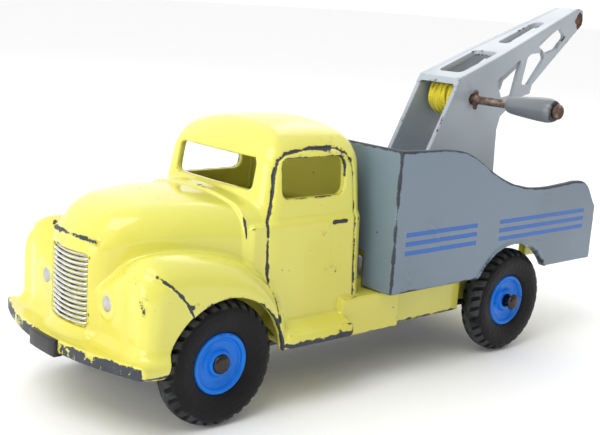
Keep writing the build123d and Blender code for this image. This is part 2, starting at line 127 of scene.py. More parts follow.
# ---------------------------------------------------------------- shader maths
class Wire:
    """A shader socket that takes part in Python arithmetic: each operation adds a Math node."""

    def __init__(self, paint, socket):
        self.paint = paint
        self.socket = socket

    def maths(self, operation, first, second=0.0):
        """A Math node on two wires or numbers."""
        return self.paint.node("Math", {"operation": operation}, {0: first, 1: second})

    def __add__(self, other):
        return self.maths("ADD", self, other)

    def __sub__(self, other):
        return self.maths("SUBTRACT", self, other)

    def __mul__(self, other):
        return self.maths("MULTIPLY", self, other)

    def __rsub__(self, other):
        return self.maths("SUBTRACT", other, self)

    __radd__ = __add__
    __rmul__ = __mul__

    def above(self, low, high):
        """0 where the wire is under low, 1 where it is over high, and a soft step between."""
        sockets = {"Value": self, "From Min": low, "From Max": high}
        return self.paint.node("MapRange", {"interpolation_type": "SMOOTHSTEP"}, sockets)

    def most(self, other):
        """The larger of two wires."""
        return self.maths("MAXIMUM", self, other)


class Paint:
    """A material's nodes, all added by one method."""

    def __init__(self, name):
        self.material = bpy.data.materials.new(name)
        self.material.use_nodes = True
        self.nodes = self.material.node_tree.nodes
        self.links = self.material.node_tree.links
        self.shader = self.nodes["Principled BSDF"]
        self.place = self.node("TexCoord", output="Object")

    def node(self, kind, settings=None, sockets=None, output=0):
        """Adds a node: its settings first, then the value or the wire of each socket."""
        made = self.nodes.new("ShaderNode" + kind)
        for name, value in (settings or {}).items():
            setattr(made, name, value)
        for name, value in (sockets or {}).items():
            self.feed(made.inputs[name], value)
        return Wire(self, made.outputs[output])

    def feed(self, socket, value):
        """Gives a socket its wire or its value."""
        if isinstance(value, Wire):
            self.links.new(value.socket, socket)
        else:
            socket.default_value = value

    def finish(self, **sockets):
        """Feeds the shader's sockets, with spaces written as underscores, and returns the material."""
        for name, value in sockets.items():
            if name.endswith("Color") and not isinstance(value, Wire):
                value = (*value, 1.0)
            self.feed(self.shader.inputs[name.replace("_", " ")], value)
        return self.material

    def attribute(self, name):
        """A number kept on the mesh's points."""
        return self.node("Attribute", {"attribute_name": name}, output="Fac")

    def axis(self, letter):
        """One object coordinate, in metres."""
        return self.node("SeparateXYZ", None, {0: self.place}, output=letter)

    def noise(self, size, detail=2.0, roughness=0.5, place=None):
        """Noise whose blobs are about size millimetres across."""
        sockets = {"Scale": 0.5 / (size * MM), "Detail": detail, "Roughness": roughness}
        return self.node("TexNoise", None, {"Vector": place or self.place, **sockets})

    def mix(self, mask, first, second):
        """The first colour where the mask is 0 and the second where it is 1."""
        first, second = (c if isinstance(c, Wire) else (*c, 1.0) for c in (first, second))
        return self.node("Mix", {"data_type": "RGBA"}, {0: mask, 6: first, 7: second}, output=2)

    def bump(self, height, depth):
        """A normal for a relief whose full height is depth millimetres."""
        return self.node("Bump", None, {"Strength": 1.0, "Distance": depth * MM, "Height": height})


def scaled(colour, factor):
    """A colour made lighter or darker."""
    return tuple(min(1.0, c * factor) for c in colour)


# ---------------------------------------------------------------- finishes
def enamel(name, colour, deep, bare, roughness=0.16, stripes=None, specks=0.795, gloss=0.4):
    """Thick stoved enamel: drifting tone, orange peel, pin specks, and ragged chips down to the metal."""
    paint = Paint(name)
    drift = paint.noise(14.0, 3.0).above(0.38, 0.66)
    tone = paint.mix(drift * 0.55, colour, deep)
    soot = paint.noise(2.2, 5.0, 0.7).above(0.62, 0.80)
    tone = paint.mix(soot * 0.30, tone, scaled(deep, 0.55))
    if stripes:
        tone = paint.mix(stripes(paint), tone, scaled(bpy.context.scene.tow_truck_colours.blue, 0.55))
    wear = paint.attribute("wear")
    ragged = paint.noise(0.75, 4.0, 0.75)
    broad = paint.noise(3.2, 2.0)
    frayed = wear + (ragged - 0.5) * 1.5 + (broad - 0.5) * 1.1
    pin = paint.noise(0.42, 1.0, 0.5).above(specks, specks + 0.02)
    chip = frayed.above(0.50, 0.58).most(pin)
    bloom = paint.noise(1.3, 4.0, 0.6)
    metal = paint.mix(bloom, scaled(bare, 0.55), scaled(bare, 2.6))
    tone = paint.mix(frayed.above(0.36, 0.50) * 0.35, tone, scaled(deep, 0.62))
    smear = paint.noise(7.0, 4.0, 0.6)
    peel = paint.noise(1.1, 1.0, 0.4)
    surface = paint.bump((1.0 - chip) * 1.0 + peel * 0.10, 0.06)
    return paint.finish(
        Base_Color=paint.mix(chip, tone, metal),
        Roughness=(roughness + smear.above(0.45, 0.75) * 0.10) * (1.0 - chip) + chip * (0.42 + bloom * 0.25),
        Metallic=chip * 0.35,
        Coat_Weight=(1.0 - chip) * gloss,
        Coat_Roughness=0.06,
        Specular_IOR_Level=0.2 + 0.5 * gloss,
        Normal=surface,
    )


def rubber_finish():
    """Black rubber with grey scuffs that gather on its raised shoulders."""
    paint = Paint("black_rubber")
    scuff = paint.noise(1.6, 5.0, 0.75)
    raised = paint.attribute("wear")
    mask = (scuff * 0.8 + raised * 0.34).above(0.58, 0.86)
    dust = paint.noise(5.0, 4.0, 0.6).above(0.42, 0.75)
    tone = paint.mix(dust, (0.004, 0.004, 0.005), (0.010, 0.010, 0.011))
    tone = paint.mix(mask * 0.7, tone, (0.085, 0.09, 0.095))
    pores = paint.noise(0.35, 3.0, 0.6)
    return paint.finish(
        Base_Color=tone,
        Roughness=0.50 + mask * 0.22 + (pores - 0.5) * 0.2,
        Normal=paint.bump(pores + scuff * 0.8, 0.10),
        Specular_IOR_Level=0.20,
    )


def steel_finish(name, tone, rust, amount, roughness=0.38):
    """Bare steel with a skin of brown rust that covers more or less of it."""
    paint = Paint(name)
    patch = paint.noise(1.6, 5.0, 0.7)
    mask = patch.above(0.62 - 0.35 * amount, 0.78 - 0.30 * amount)
    scratch = paint.noise(0.5, 3.0, 0.6)
    shade = paint.mix(scratch, scaled(tone, 0.6), scaled(tone, 1.3))
    stain = paint.mix(scratch, scaled(rust, 0.45), scaled(rust, 1.5))
    return paint.finish(
        Base_Color=paint.mix(mask, shade, stain),
        Metallic=1.0 - mask * 0.85,
        Roughness=roughness + mask * 0.38 + (scratch - 0.5) * 0.25,
        Normal=paint.bump(mask + scratch * 0.4, 0.05),
    )


def silver_finish(name, hollow_darkening, bright=1.0):
    """Silver paint, near black in its hollows and brighter where it stands proud."""
    paint = Paint(name)
    hollow = paint.attribute("hollow")
    blot = paint.noise(0.9, 4.0, 0.7)
    # near black where the hollows lie, broken up by blots of noise
    mask = (hollow * hollow_darkening + (blot - 0.5) * 1.4).above(0.30, 0.62)
    dull, clean = scaled((0.62, 0.62, 0.58), bright), scaled((0.86, 0.86, 0.82), bright)
    tone = paint.mix(blot.above(0.3, 0.7), dull, clean)
    return paint.finish(
        Base_Color=paint.mix(mask, tone, (0.035, 0.036, 0.045)),
        Metallic=0.5 * bright - mask * 0.3 * bright,
        Roughness=0.30 + mask * 0.35,
        Normal=paint.bump(blot, 0.04),
    )


def tin_finish():
    """Black japanned tinplate with fine scratches and a few rubbed places."""
    paint = Paint("black_tin")
    stretched = paint.node("Mapping", None, {"Vector": paint.place, "Scale": (0.12, 1.0, 1.0)})
    scratch = paint.noise(0.5, 3.0, 0.6, place=stretched).above(0.66, 0.74)
    rubbed = paint.noise(6.0, 4.0, 0.7).above(0.60, 0.72)
    mask = scratch * 0.7 + rubbed * 0.3
    return paint.finish(
        Base_Color=paint.mix(mask, (0.010, 0.010, 0.011), (0.10, 0.10, 0.105)),
        Metallic=mask * 0.6,
        Roughness=0.26 + mask * 0.25,
        Normal=paint.bump(1.0 - scratch, 0.02),
    )


def cord_finish():
    """Soft yellow twine: twisted strands along the thread, and soiled places."""
    paint = Paint("yellow_cord")
    colour = bpy.context.scene.tow_truck_colours.cord
    twist = paint.node("UVMap", {"uv_map": "along"})
    split = paint.node("SeparateXYZ", None, {0: twist}, output="X")
    across = paint.node("SeparateXYZ", None, {0: twist}, output="Y")
    strand = split.maths("SINE", (split * 2.6 + across * 3.0) * 6.2832)
    soil = paint.noise(2.4, 4.0, 0.7).above(0.52, 0.70)
    tone = paint.mix(strand * 0.5 + 0.5, scaled(colour, 0.72), scaled(colour, 1.1))
    fuzz = paint.noise(0.22, 2.0, 0.6)
    return paint.finish(
        Base_Color=paint.mix(soil * 0.45, tone, (0.34, 0.17, 0.02)),
        Roughness=0.80 + (fuzz - 0.5) * 0.2,
        Normal=paint.bump(strand * 0.5 + fuzz, 0.09),
        Sheen_Weight=0.3,
    )


# ---------------------------------------------------------------- meshes
def clear_old(name):
    """Takes away an earlier piece of the same name."""
    old = bpy.data.objects.get(name)
    if old:
        bpy.data.objects.remove(old)


def mesh_piece(name, points, faces, material, smooth=True, **values):
    """A mesh object from points in millimetres, faces of equal size and numbers kept on its points."""
    clear_old(name)
    points = np.asarray(points, np.float32) * MM
    faces = np.asarray(faces, np.int32)
    corners = faces.shape[1]
    mesh = bpy.data.meshes.new(name)
    mesh.vertices.add(len(points))
    mesh.vertices.foreach_set("co", points.ravel())
    mesh.loops.add(faces.size)
    mesh.loops.foreach_set("vertex_index", faces.ravel())
    mesh.polygons.add(len(faces))
    mesh.polygons.foreach_set("loop_start", np.arange(0, faces.size, corners, dtype=np.int32))
    mesh.polygons.foreach_set("use_smooth", np.full(len(faces), smooth))
    mesh.update(calc_edges=True)
    mesh.validate()
    for key, numbers in values.items():
        attribute = mesh.attributes.new(key, "FLOAT", "POINT")
        attribute.data.foreach_set("value", np.asarray(numbers, np.float32).ravel())
    mesh.materials.append(material)
    piece = bpy.data.objects.new(name, mesh)
    bpy.context.scene.collection.objects.link(piece)
    return piece


def grid_faces(rows, columns, close_rows=False, close_columns=False):
    """Quads between neighbouring points of a grid, wrapping round where a direction is closed."""
    number = np.arange(rows * columns).reshape(rows, columns)
    if close_rows:
        number = np.vstack([number, number[:1]])
    if close_columns:
        number = np.hstack([number, number[:, :1]])
    quads = np.stack([number[:-1, :-1], number[1:, :-1], number[1:, 1:], number[:-1, 1:]], axis=-1)
    return quads.reshape(-1, 4)


def joined(*parts):
    """Points and faces of several surfaces as one, faces as quads."""
    points, faces, start = [], [], 0
    for part_points, part_faces in parts:
        points.append(np.asarray(part_points, float).reshape(-1, 3))
        faces.append(np.asarray(part_faces) + start)
        start += len(points[-1])
    return np.vstack(points), np.vstack(faces)


def rounded_profile(corners, radius, steps=4):
    """A polyline with its inner corners turned into arcs: each arc is a quadratic curve that leaves its
    two edges at the radius, or at 0.45 of the shorter one where that is less."""
    corners = np.asarray(corners, float)
    made = [corners[:1]]
    t = np.linspace(0, 1, steps + 1)[:, None]
    for before, at, after in zip(corners[:-2], corners[1:-1], corners[2:]):
        reach = min(radius, 0.45 * np.linalg.norm(before - at), 0.45 * np.linalg.norm(after - at))
        start = at + (before - at) / np.linalg.norm(before - at) * reach
        end = at + (after - at) / np.linalg.norm(after - at) * reach
        made.append((1 - t) ** 2 * start + 2 * t * (1 - t) * at + t**2 * end)
    made.append(corners[-1:])
    return np.vstack(made)


def lathe(profile, x, z, side=1, steps=96, closed=True):
    """A surface turned about a cross axis at x, z from (radius, y) points: a point at angle a stands at
    (x + radius sin a, side y, z + radius cos a). A profile that ends on the axis closes there."""
    profile = np.asarray(profile, float)
    angle = np.linspace(0, 2 * np.pi, steps, endpoint=False)
    radius, along = profile[:, :1], profile[:, 1:] * side
    points = np.stack(
        [x + radius * np.sin(angle), along + 0 * angle, z + radius * np.cos(angle)], axis=-1
    )
    faces = grid_faces(len(profile), steps, close_rows=closed, close_columns=True)
    return points.reshape(-1, 3), faces if side > 0 else faces[:, ::-1]


def tube(path, radius, sides):
    """A round tube along a path of points, closed at both ends by shrinking to a point. Its rings stand
    square to the path, turned as little as can be from one ring to the next."""
    path = np.asarray(path, float)
    ahead = np.gradient(path, axis=0)
    ahead /= np.linalg.norm(ahead, axis=1, keepdims=True)
    across = np.zeros_like(path)
    aside = np.cross(ahead[0], (0.3, 0.2, 0.93))
    for i, direction in enumerate(ahead):
        aside = aside - direction * (aside @ direction)
        aside /= np.linalg.norm(aside)
        across[i] = aside
    up = np.cross(ahead, across)
    angle = np.linspace(0, 2 * np.pi, sides, endpoint=False)
    ring = np.cos(angle)[None, :, None] * across[:, None] + np.sin(angle)[None, :, None] * up[:, None]
    radii = np.full(len(path), float(radius))
    radii[0] = radii[-1] = 1e-4
    points = path[:, None] + ring * radii[:, None, None]
    return points.reshape(-1, 3), grid_faces(len(path), sides, close_columns=True)


def weld(piece, distance=0.002 * MM):
    """Merges points that fall together, such as a pole's, and makes the faces point outwards."""
    shape = bmesh.new()
    shape.from_mesh(piece.data)
    bmesh.ops.remove_doubles(shape, verts=shape.verts, dist=distance)
    bmesh.ops.recalc_face_normals(shape, faces=shape.faces)
    shape.to_mesh(piece.data)
    shape.free()
    return piece


def seated(piece, body, slot, *nodes):
    """Puts a piece on its body and hides the frame nodes that it stands for. Its slot is not used."""
    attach(piece, body)
    if nodes:
        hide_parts(*nodes)
    return piece


# ---------------------------------------------------------------- blended solids
def ramp(value, low, high):
    """0 under low, 1 over high, and a soft step between."""
    t = np.clip((value - low) / (high - low), 0, 1)
    return t * t * (3 - 2 * t)


def both(first, second, radius=0.0):
    """The part inside two solids, whose shared edge is rounded to the radius."""
    if not radius:
        return np.maximum(first, second)
    return np.minimum(np.maximum(first, second), -radius) + np.hypot(
        np.maximum(first + radius, 0), np.maximum(second + radius, 0)
    )


def either(first, second, radius=0.0):
    """Two solids together, with a fillet of the radius in the corner between them."""
    return -both(-first, -second, radius)


def block(x, y, z, low, high, radius=0.0):
    """A box between two corners, with rounded edges."""
    low, high = np.asarray(low, float), np.asarray(high, float)
    middle, half = (low + high) / 2, (high - low) / 2 - radius
    qx, qy, qz = (np.abs(v - m) - h for v, m, h in zip((x, y, z), middle, half))
    outside = np.sqrt(np.maximum(qx, 0) ** 2 + np.maximum(qy, 0) ** 2 + np.maximum(qz, 0) ** 2)
    return outside + np.minimum(np.maximum(qx, np.maximum(qy, qz)), 0) - radius


def capsule(x, y, z, start, end, radius):
    """A bar with round ends from one point to another."""
    start, end = np.asarray(start, float), np.asarray(end, float)
    run = end - start
    t = ((x - start[0]) * run[0] + (y - start[1]) * run[1] + (z - start[2]) * run[2]) / (run @ run)
    t = np.clip(t, 0, 1)
    return np.sqrt(
        (x - start[0] - t * run[0]) ** 2 + (y - start[1] - t * run[1]) ** 2 + (z - start[2] - t * run[2]) ** 2
    ) - radius


def outline(u, v, corners):
    """Distance from (u, v) to a closed outline, less than zero inside it: the nearest of its edges, with
    a sign from the count of edges crossed on the way out."""
    corners = np.asarray(corners, float)
    nearest, inside = np.inf, False
    for (au, av), (bu, bv) in zip(corners, np.roll(corners, -1, axis=0)):
        eu, ev = bu - au, bv - av
        t = np.clip(((u - au) * eu + (v - av) * ev) / (eu * eu + ev * ev), 0, 1)
        nearest = np.minimum(nearest, (u - au - t * eu) ** 2 + (v - av - t * ev) ** 2)
        inside = inside ^ (((av <= v) != (bv <= v)) & (u < au + (v - av) * eu / (ev if ev else 1.0)))
    return np.where(inside, -1.0, 1.0) * np.sqrt(nearest)


def curve_through(*points):
    """A smooth function through (input, output) points: cubic pieces that share their slopes."""
    at, value = np.array(points, float).T
    slope = np.gradient(value, at)

    def curve(v):
        v = np.clip(v, at[0], at[-1])
        i = np.clip(np.searchsorted(at, v) - 1, 0, len(at) - 2)
        step = at[i + 1] - at[i]
        t = (v - at[i]) / step
        return (
            value[i] * (1 + 2 * t) * (1 - t) ** 2 + slope[i] * step * t * (1 - t) ** 2
            + value[i + 1] * t * t * (3 - 2 * t) + slope[i + 1] * step * t * t * (t - 1)
        )

    return curve


def smooth_loop(corners, steps=6):
    """A closed outline through its corners, each stretch a cubic whose ends share their directions."""
    p = np.asarray(corners, float)
    before, after, beyond = np.roll(p, 1, axis=0), np.roll(p, -1, axis=0), np.roll(p, -2, axis=0)
    t = np.linspace(0, 1, steps, endpoint=False)[None, :, None]
    a, b, c, d = (q[:, None] for q in (before, p, after, beyond))
    loop = 0.5 * (2 * b + (c - a) * t + (2 * a - 5 * b + 4 * c - d) * t**2 + (3 * b - a - 3 * c + d) * t**3)
    return loop.reshape(-1, 2)


def level_points(field, low, high, step):
    """Points and quads of the surface on which a field is zero. The forms of a casting run into each
    other, so it is made as the zero level of one distance field and not as a grid of two parameters.
    Each cell that the surface crosses has one point, the mean of the crossings on its edges, and each
    crossed edge has one quad between the four cells around it, turned to face the outside."""
    axes = [np.arange(a, b + step, step, dtype=np.float32) for a, b in zip(low, high)]
    x, y, z = axes[0][:, None, None], axes[1][None, :, None], axes[2][None, None, :]
    value = np.broadcast_to(field(x, y, z), [len(a) for a in axes]).astype(np.float32)
    inside = value < 0
    cells = [len(a) for a in axes]
    owners, places, quads = [], [], []
    for axis in range(3):
        first, second = (axis + 1) % 3, (axis + 2) % 3
        near = [slice(None)] * 3
        far = [slice(None)] * 3
        near[axis], far[axis] = slice(None, -1), slice(1, None)
        index = np.array(np.nonzero(inside[tuple(near)] != inside[tuple(far)]))
        ahead = index.copy()
        ahead[axis] += 1
        here, there = value[tuple(index)], value[tuple(ahead)]
        place = index.T.astype(np.float32)
        place[:, axis] += here / (here - there)
        ring = []
        for down_first, down_second in ((0, 0), (1, 0), (1, 1), (0, 1)):
            cell = index.copy()
            cell[first] -= down_first
            cell[second] -= down_second
            ring.append(np.ravel_multi_index(cell, cells))
        owners += ring
        places += [place] * 4
        quad = np.stack(ring, axis=1)
        quads.append(np.where((here < 0)[:, None], quad, quad[:, ::-1]))
    owner = np.concatenate(owners)
    used, number = np.unique(owner, return_inverse=True)
    place = np.concatenate(places)
    count = np.bincount(number)
    points = np.stack([np.bincount(number, place[:, k]) / count for k in range(3)], axis=1)
    faces = np.searchsorted(used, np.concatenate(quads))
    return np.asarray(low) + points * step, faces


TETRAHEDRON = np.array(((1, 1, 1), (1, -1, -1), (-1, 1, -1), (-1, -1, 1)), float)


def slope_of(field, p, reach=0.03):
    """The field's direction of steepest rise at points, from its values at the corners of a tetrahedron
    around each."""
    values = np.stack([field(*(p + corner * reach).T) for corner in TETRAHEDRON], axis=1)
    return values @ TETRAHEDRON / (4 * reach)


def bend_of(field, p, reach=0.45):
    """How sharply the surface bends outwards at points: the mean of the field at the corners of a
    tetrahedron around each, less the field there, as six times that over the reach squared."""
    around = sum(field(*(p + corner).T) for corner in TETRAHEDRON * reach / 3**0.5) / 4
    return 6 * (around - field(*p.T)) / reach**2


def worn_along(wear, *stretches):
    """The most of a wear and of stretches along lines. Each stretch is a distance from its line, a width
    and an amount, and its wear is the amount times a bell curve of distance over width."""
    for distance, width, amount in stretches:
        wear = np.maximum(wear, amount * np.exp(-((distance / width) ** 2)))
    return wear


def level_piece(name, field, low, high, step, material, triangles, wear):
    """A piece from a field: its zero surface, thinned to a number of triangles, drawn back on to the
    field, and shaded by the field's own slope. Its wear comes from a function of place, slope and bend."""
    points, faces = level_points(field, low, high, step)

    def drawn_in(points):
        slope = slope_of(field, points)
        move = field(*points.T)[:, None] * slope / np.maximum((slope**2).sum(1, keepdims=True), 0.2)
        return points - np.clip(move, -0.6 * step, 0.6 * step)

    points = drawn_in(points)
    draft = mesh_piece(name + "_draft", points, faces, material)
    thin = draft.modifiers.new("thin", "DECIMATE")
    thin.ratio = min(1.0, triangles / (2 * len(faces)))
    thin.use_collapse_triangulate = True
    made = bpy.data.meshes.new_from_object(draft.evaluated_get(bpy.context.evaluated_depsgraph_get()))
    corner = np.zeros(3 * len(made.vertices), np.float32)
    made.vertices.foreach_get("co", corner)
    points = drawn_in(corner.reshape(-1, 3).astype(float) / MM)
    made.calc_loop_triangles()
    faces = np.zeros(3 * len(made.loop_triangles), np.int32)
    made.loop_triangles.foreach_get("vertices", faces)
    bpy.data.objects.remove(draft)
    bpy.data.meshes.remove(made)
    slope = slope_of(field, points)
    slope /= np.maximum(np.linalg.norm(slope, axis=1, keepdims=True), 1e-6)
    worn = wear(points, slope, bend_of(field, points))
    piece = mesh_piece(name, points, faces.reshape(-1, 3), material, wear=worn)
    piece.data.normals_split_custom_set_from_vertices(slope.tolist())
    return piece


# ---------------------------------------------------------------- cab casting
BONNET_HALF = curve_through(
    (22, 14.5), (28, 13.9), (34, 12.7), (40, 11.2), (44, 9.7), (46.5, 8.4), (48.5, 7.3), (50, 6.6),
    (51.5, 6.0),
)
BONNET_CROWN = curve_through(
    (22, 33.7), (28, 33.6), (33, 33.8), (39, 33.5), (44.5, 32.7), (48, 31.2), (50, 29.6), (51.6, 27.0),
)
BONNET_BOW = 0.0102
WING_OUTLINE = smooth_loop((
    (51.8, 4), (51.8, 10), (51.5, 16), (50.8, 20.5), (49.6, 23.8), (48.0, 26.0), (45.8, 27.2),
    (42.0, 27.3), (38.4, 27.0), (34.8, 26.4), (31.8, 25.6), (28.8, 24.3), (25.9, 22.2), (23.4, 19.6),
    (21.6, 16.8), (20.4, 13.4), (20.0, 10), (20.0, 4),
), steps=3)
WING_HALF = 19.6
FAIRING_EDGE = (
    (49.8, 27.4), (48.6, 26.6), (47.4, 25.7), (45.2, 23.9), (43.6, 22.5), (42.2, 20.9), (41.2, 19.2),
    (40.4, 17.0), (40.0, 8.0), (56.0, 8.0), (56.0, 27.4),
)
DOOR_OUTLINE = (
    (24.3, 10.0), (24.3, 29.4), (23.4, 31.4), (22.8, 34.5), (22.5, 37.6), (21.7, 39.5), (20.2, 40.5),
    (15.0, 41.1), (9.4, 40.9), (7.2, 40.0), (6.1, 38.0), (5.7, 35.0), (5.6, 30.0), (5.6, 10.0),
)
HANDLE_Z = 29.1
CAB_REAR = 2.9
WINDOW_LOW, WINDOW_HIGH = (7.8, 33.4), (21.2, 39.7)
SCREEN_HALF, SCREEN_LOW, SCREEN_HIGH = 10.2, 34.4, 39.5
GRILLE_HALF, GRILLE_LOW, GRILLE_HIGH = 5.02, 14.5, 25.82
RECESS_HALF, RECESS_MIDDLE, RECESS_REACH = 5.05, 20.15, 5.7
LAMP_X, LAMP_SIDE, LAMP_Z = 48.75, 9.0, 19.2
OPENING_RADIUS = 11.15
BOARD_OUTLINE = (
    (9.0, 14.5), (15.0, 14.5), (16.0, 13.9), (18.2, 13.3), (19.3, 12.7), (19.6, 12.0), (19.55, 10.6),
    (9.0, 10.6),
)


def bumper_front(side):
    """How far forward the bumper's bowed face stands at a distance from the centre plane."""
    return BUMPER_X - 0.0101 * side**2


def nose_front(side, z):
    """How far forward the radiator stands: bowed across, and leaning back above the grille."""
    return 51.1 - 0.030 * side**2 - 0.5 * np.maximum(z - 26.8, 0)


def opening_rim(x, z):
    """Distance from the rim of the front wheel opening, less than zero inside it."""
    return np.hypot(x - (AXLE_X - 0.1), z - (AXLE_Z - 0.6)) - OPENING_RADIUS


def window_rim(x, z):
    """Distance from the rim of the door window, less than zero inside it."""
    across, up = (
        np.abs(v - (low + high) / 2) - (high - low) / 2
        for v, low, high in zip((x, z), WINDOW_LOW, WINDOW_HIGH)
    )
    return both(across, up, 1.5)


def casting_skin(x, y, z):
    """The outer form of the upper casting: bonnet, wings, door block, scuttle and cab, run together."""
    side = np.abs(y)
    bonnet = both(side - BONNET_HALF(x), z - BONNET_CROWN(x) + BONNET_BOW * side**2, 4.2)
    bonnet = both(bonnet, x - nose_front(side, z), 1.5)
    bonnet = np.maximum(bonnet, 12.0 - x)

    dip = 0.060 * np.minimum(side - 15.5, 0) ** 2 * ramp(z, 18.0, 26.0)
    wing = both(outline(x, z, WING_OUTLINE) + dip, side - WING_HALF, 5.4)
    wing = both(wing, both(x - 49.2, side - WING_HALF, 3.2), 0.8)
    fairing = ramp(-outline(x, z, FAIRING_EDGE), 0.0, 0.30) * ramp(side, 12.6, 14.6)
    wing = wing + 0.32 * fairing

    door = both(both(CAB_REAR - x, side - 14.95, 3.0), z - 29.7, 0.5)
    door = both(door, x - 27.4, 0.8)
    scuttle = both(side - 14.6 + 0.10 * np.maximum(x - 24.0, 0), z - 34.0 + BONNET_BOW * side**2, 3.7)
    scuttle = both(np.maximum(scuttle, 12.0 - x), x - 28.2, 0.40)

    cab_rear = CAB_REAR + 0.05 * np.maximum(z - 31.0, 0)
    cab = both(side - 14.75 + 0.085 * (z - 30.0), cab_rear - x, 3.2)
    cab = both(cab, x - 24.9 + 0.17 * (z - 34.3) + 0.004 * side**2, 3.0)
    cab = both(cab, z - 45.0 + 0.0125 * side**2 + 0.006 * (x - 12.5) ** 2, 4.4)

    skin = either(bonnet, wing, 1.1)
    skin = either(skin, door, 1.4)
    skin = either(skin, scuttle, 0.3)
    return either(skin, cab, 0.9)


def casting_solid(x, y, z):
    """The whole casting: the skin as a shell open underneath, with its windows, bumper, running boards,
    inner walls and the frame behind the cab."""
    side = np.abs(y)
    wall = bpy.context.scene.tow_truck_sizes.wall / MM
    skin = casting_skin(x, y, z)
    # door grooves, then the shell
    groove = np.exp(-((outline(x, z, DOOR_OUTLINE) / 0.24) ** 2))
    skin = skin + 0.26 * groove * ramp(side, 12.0, 12.8) * ramp(z, 14.0, 14.6)
    solid = both(skin, -(skin + wall), 0.15)

    # windows and windscreen
    solid = both(solid, -window_rim(x, z), 0.35)
    up = np.abs(z - (SCREEN_LOW + SCREEN_HIGH) / 2) - (SCREEN_HIGH - SCREEN_LOW) / 2
    screen = both(side - SCREEN_HALF, up, 1.1)
    solid = both(solid, -np.maximum(screen, 18.0 - x), 0.45)

    # recess behind the grille, and a lip across the nose above it
    recess = both(side - RECESS_HALF, np.abs(z - RECESS_MIDDLE) - RECESS_REACH, 0.5)
    recess = np.maximum(recess, nose_front(side, z) - 0.55 - x)
    solid = both(solid, -recess, 0.12)
    lip = np.hypot(x - nose_front(side, 28.0) + 0.1, z - 28.0 + 0.010 * side**2) - 0.42
    solid = either(solid, np.maximum(lip, side - 6.1), 0.35)

    # headlamp rings
    from_lamp = np.hypot(side - LAMP_SIDE, z - LAMP_Z)
    ring = np.hypot(from_lamp - 2.05, x - LAMP_X) - 0.48
    solid = either(solid, np.maximum(ring, 47.6 - x), 0.4)

    # apron and bumper
    bar = both(x - bumper_front(side), np.abs(z - 11.95) - 1.05, 0.35)
    bar = both(np.maximum(bar, 44.6 - x), side - 20.4, 0.9)
    solid = either(solid, bar, 1.9)

    # running boards with the sill's bead above them
    board = outline(side, z, BOARD_OUTLINE)
    board = both(both(board, np.abs(x - 15.4) - 7.7, 1.5), -(board + 1.5), 0.1)
    bead = np.hypot(side - 15.0, z - 14.2) - 0.75
    solid = either(solid, either(board, both(bead, np.abs(x - 14.4) - 7.8, 0.4), 0.6), 0.5)

    # everything under the sills is cut away, then the inner walls go in
    solid = np.maximum(solid, np.maximum(10.35 - z, side - 20.45))
    rails = block(x, side, z, (-20.0, 10.9, 9.9), (46.0, RAIL_HALF, 18.0), 0.25)

    # the deck behind the cab: cut away low at its rear, hollow, with an end wall and room for the tyres
    channel = block(x, side, z, (-56.0, -20.0, 9.9), (-1.0, RAIL_HALF, 22.45), 0.3)
    channel = both(channel, -both(x + 42.0, z - 16.3, 0.5), 0.3)
    channel = both(channel, -block(x, side, z, (-54.6, -20.0, 0.0), (3.0, 10.9, 21.0), 0.4), 0.2)
    channel = either(channel, block(x, side, z, (-42.0, -1.0, 9.9), (-40.8, 11.5, 22.0), 0.3), 0.3)
    channel = both(channel, -block(x, side, z, (-46.0, 9.5, 16.4), (-22.5, 14.0, 24.0), 0.3), 0.2)

    # lugs over the axles, and two hollow steps down under the deck's front
    lug = block(np.abs(x), side, z, (AXLE_X - 4.0, 10.9, 8.05), (AXLE_X + 4.0, RAIL_HALF, 16.0), 0.3)
    rails = either(either(rails, channel, 0.2), lug, 0.6)
    frame_block = block(x, side, z, (-5.0, -1.0, 9.4), (9.0, 17.0, 16.15), 0.35)
    frame_block = np.maximum(frame_block, -block(x, side, z, (-3.6, -30, 0), (30.0, 15.6, 14.9), 0.3))
    sill = block(x, side, z, (-23.6, -1.0, 9.0), (-3.0, 15.0, 16.15), 0.4)
    sill = np.maximum(sill, -block(x, side, z, (-22.2, -30, 0), (30.0, 13.6, 14.9), 0.3))
    frame_block = either(frame_block, sill, 0.5)
    solid = either(solid, either(rails, frame_block, 0.3), 0.3)

    # wheel openings and door handles
    opening = np.maximum(opening_rim(x, z), RAIL_HALF - side)
    solid = both(solid, -opening, 0.35)
    handle = capsule(x, side, z, (7.7, 15.0, HANDLE_Z), (10.3, 15.0, HANDLE_Z), 0.30)
    return either(solid, handle, 0.15)


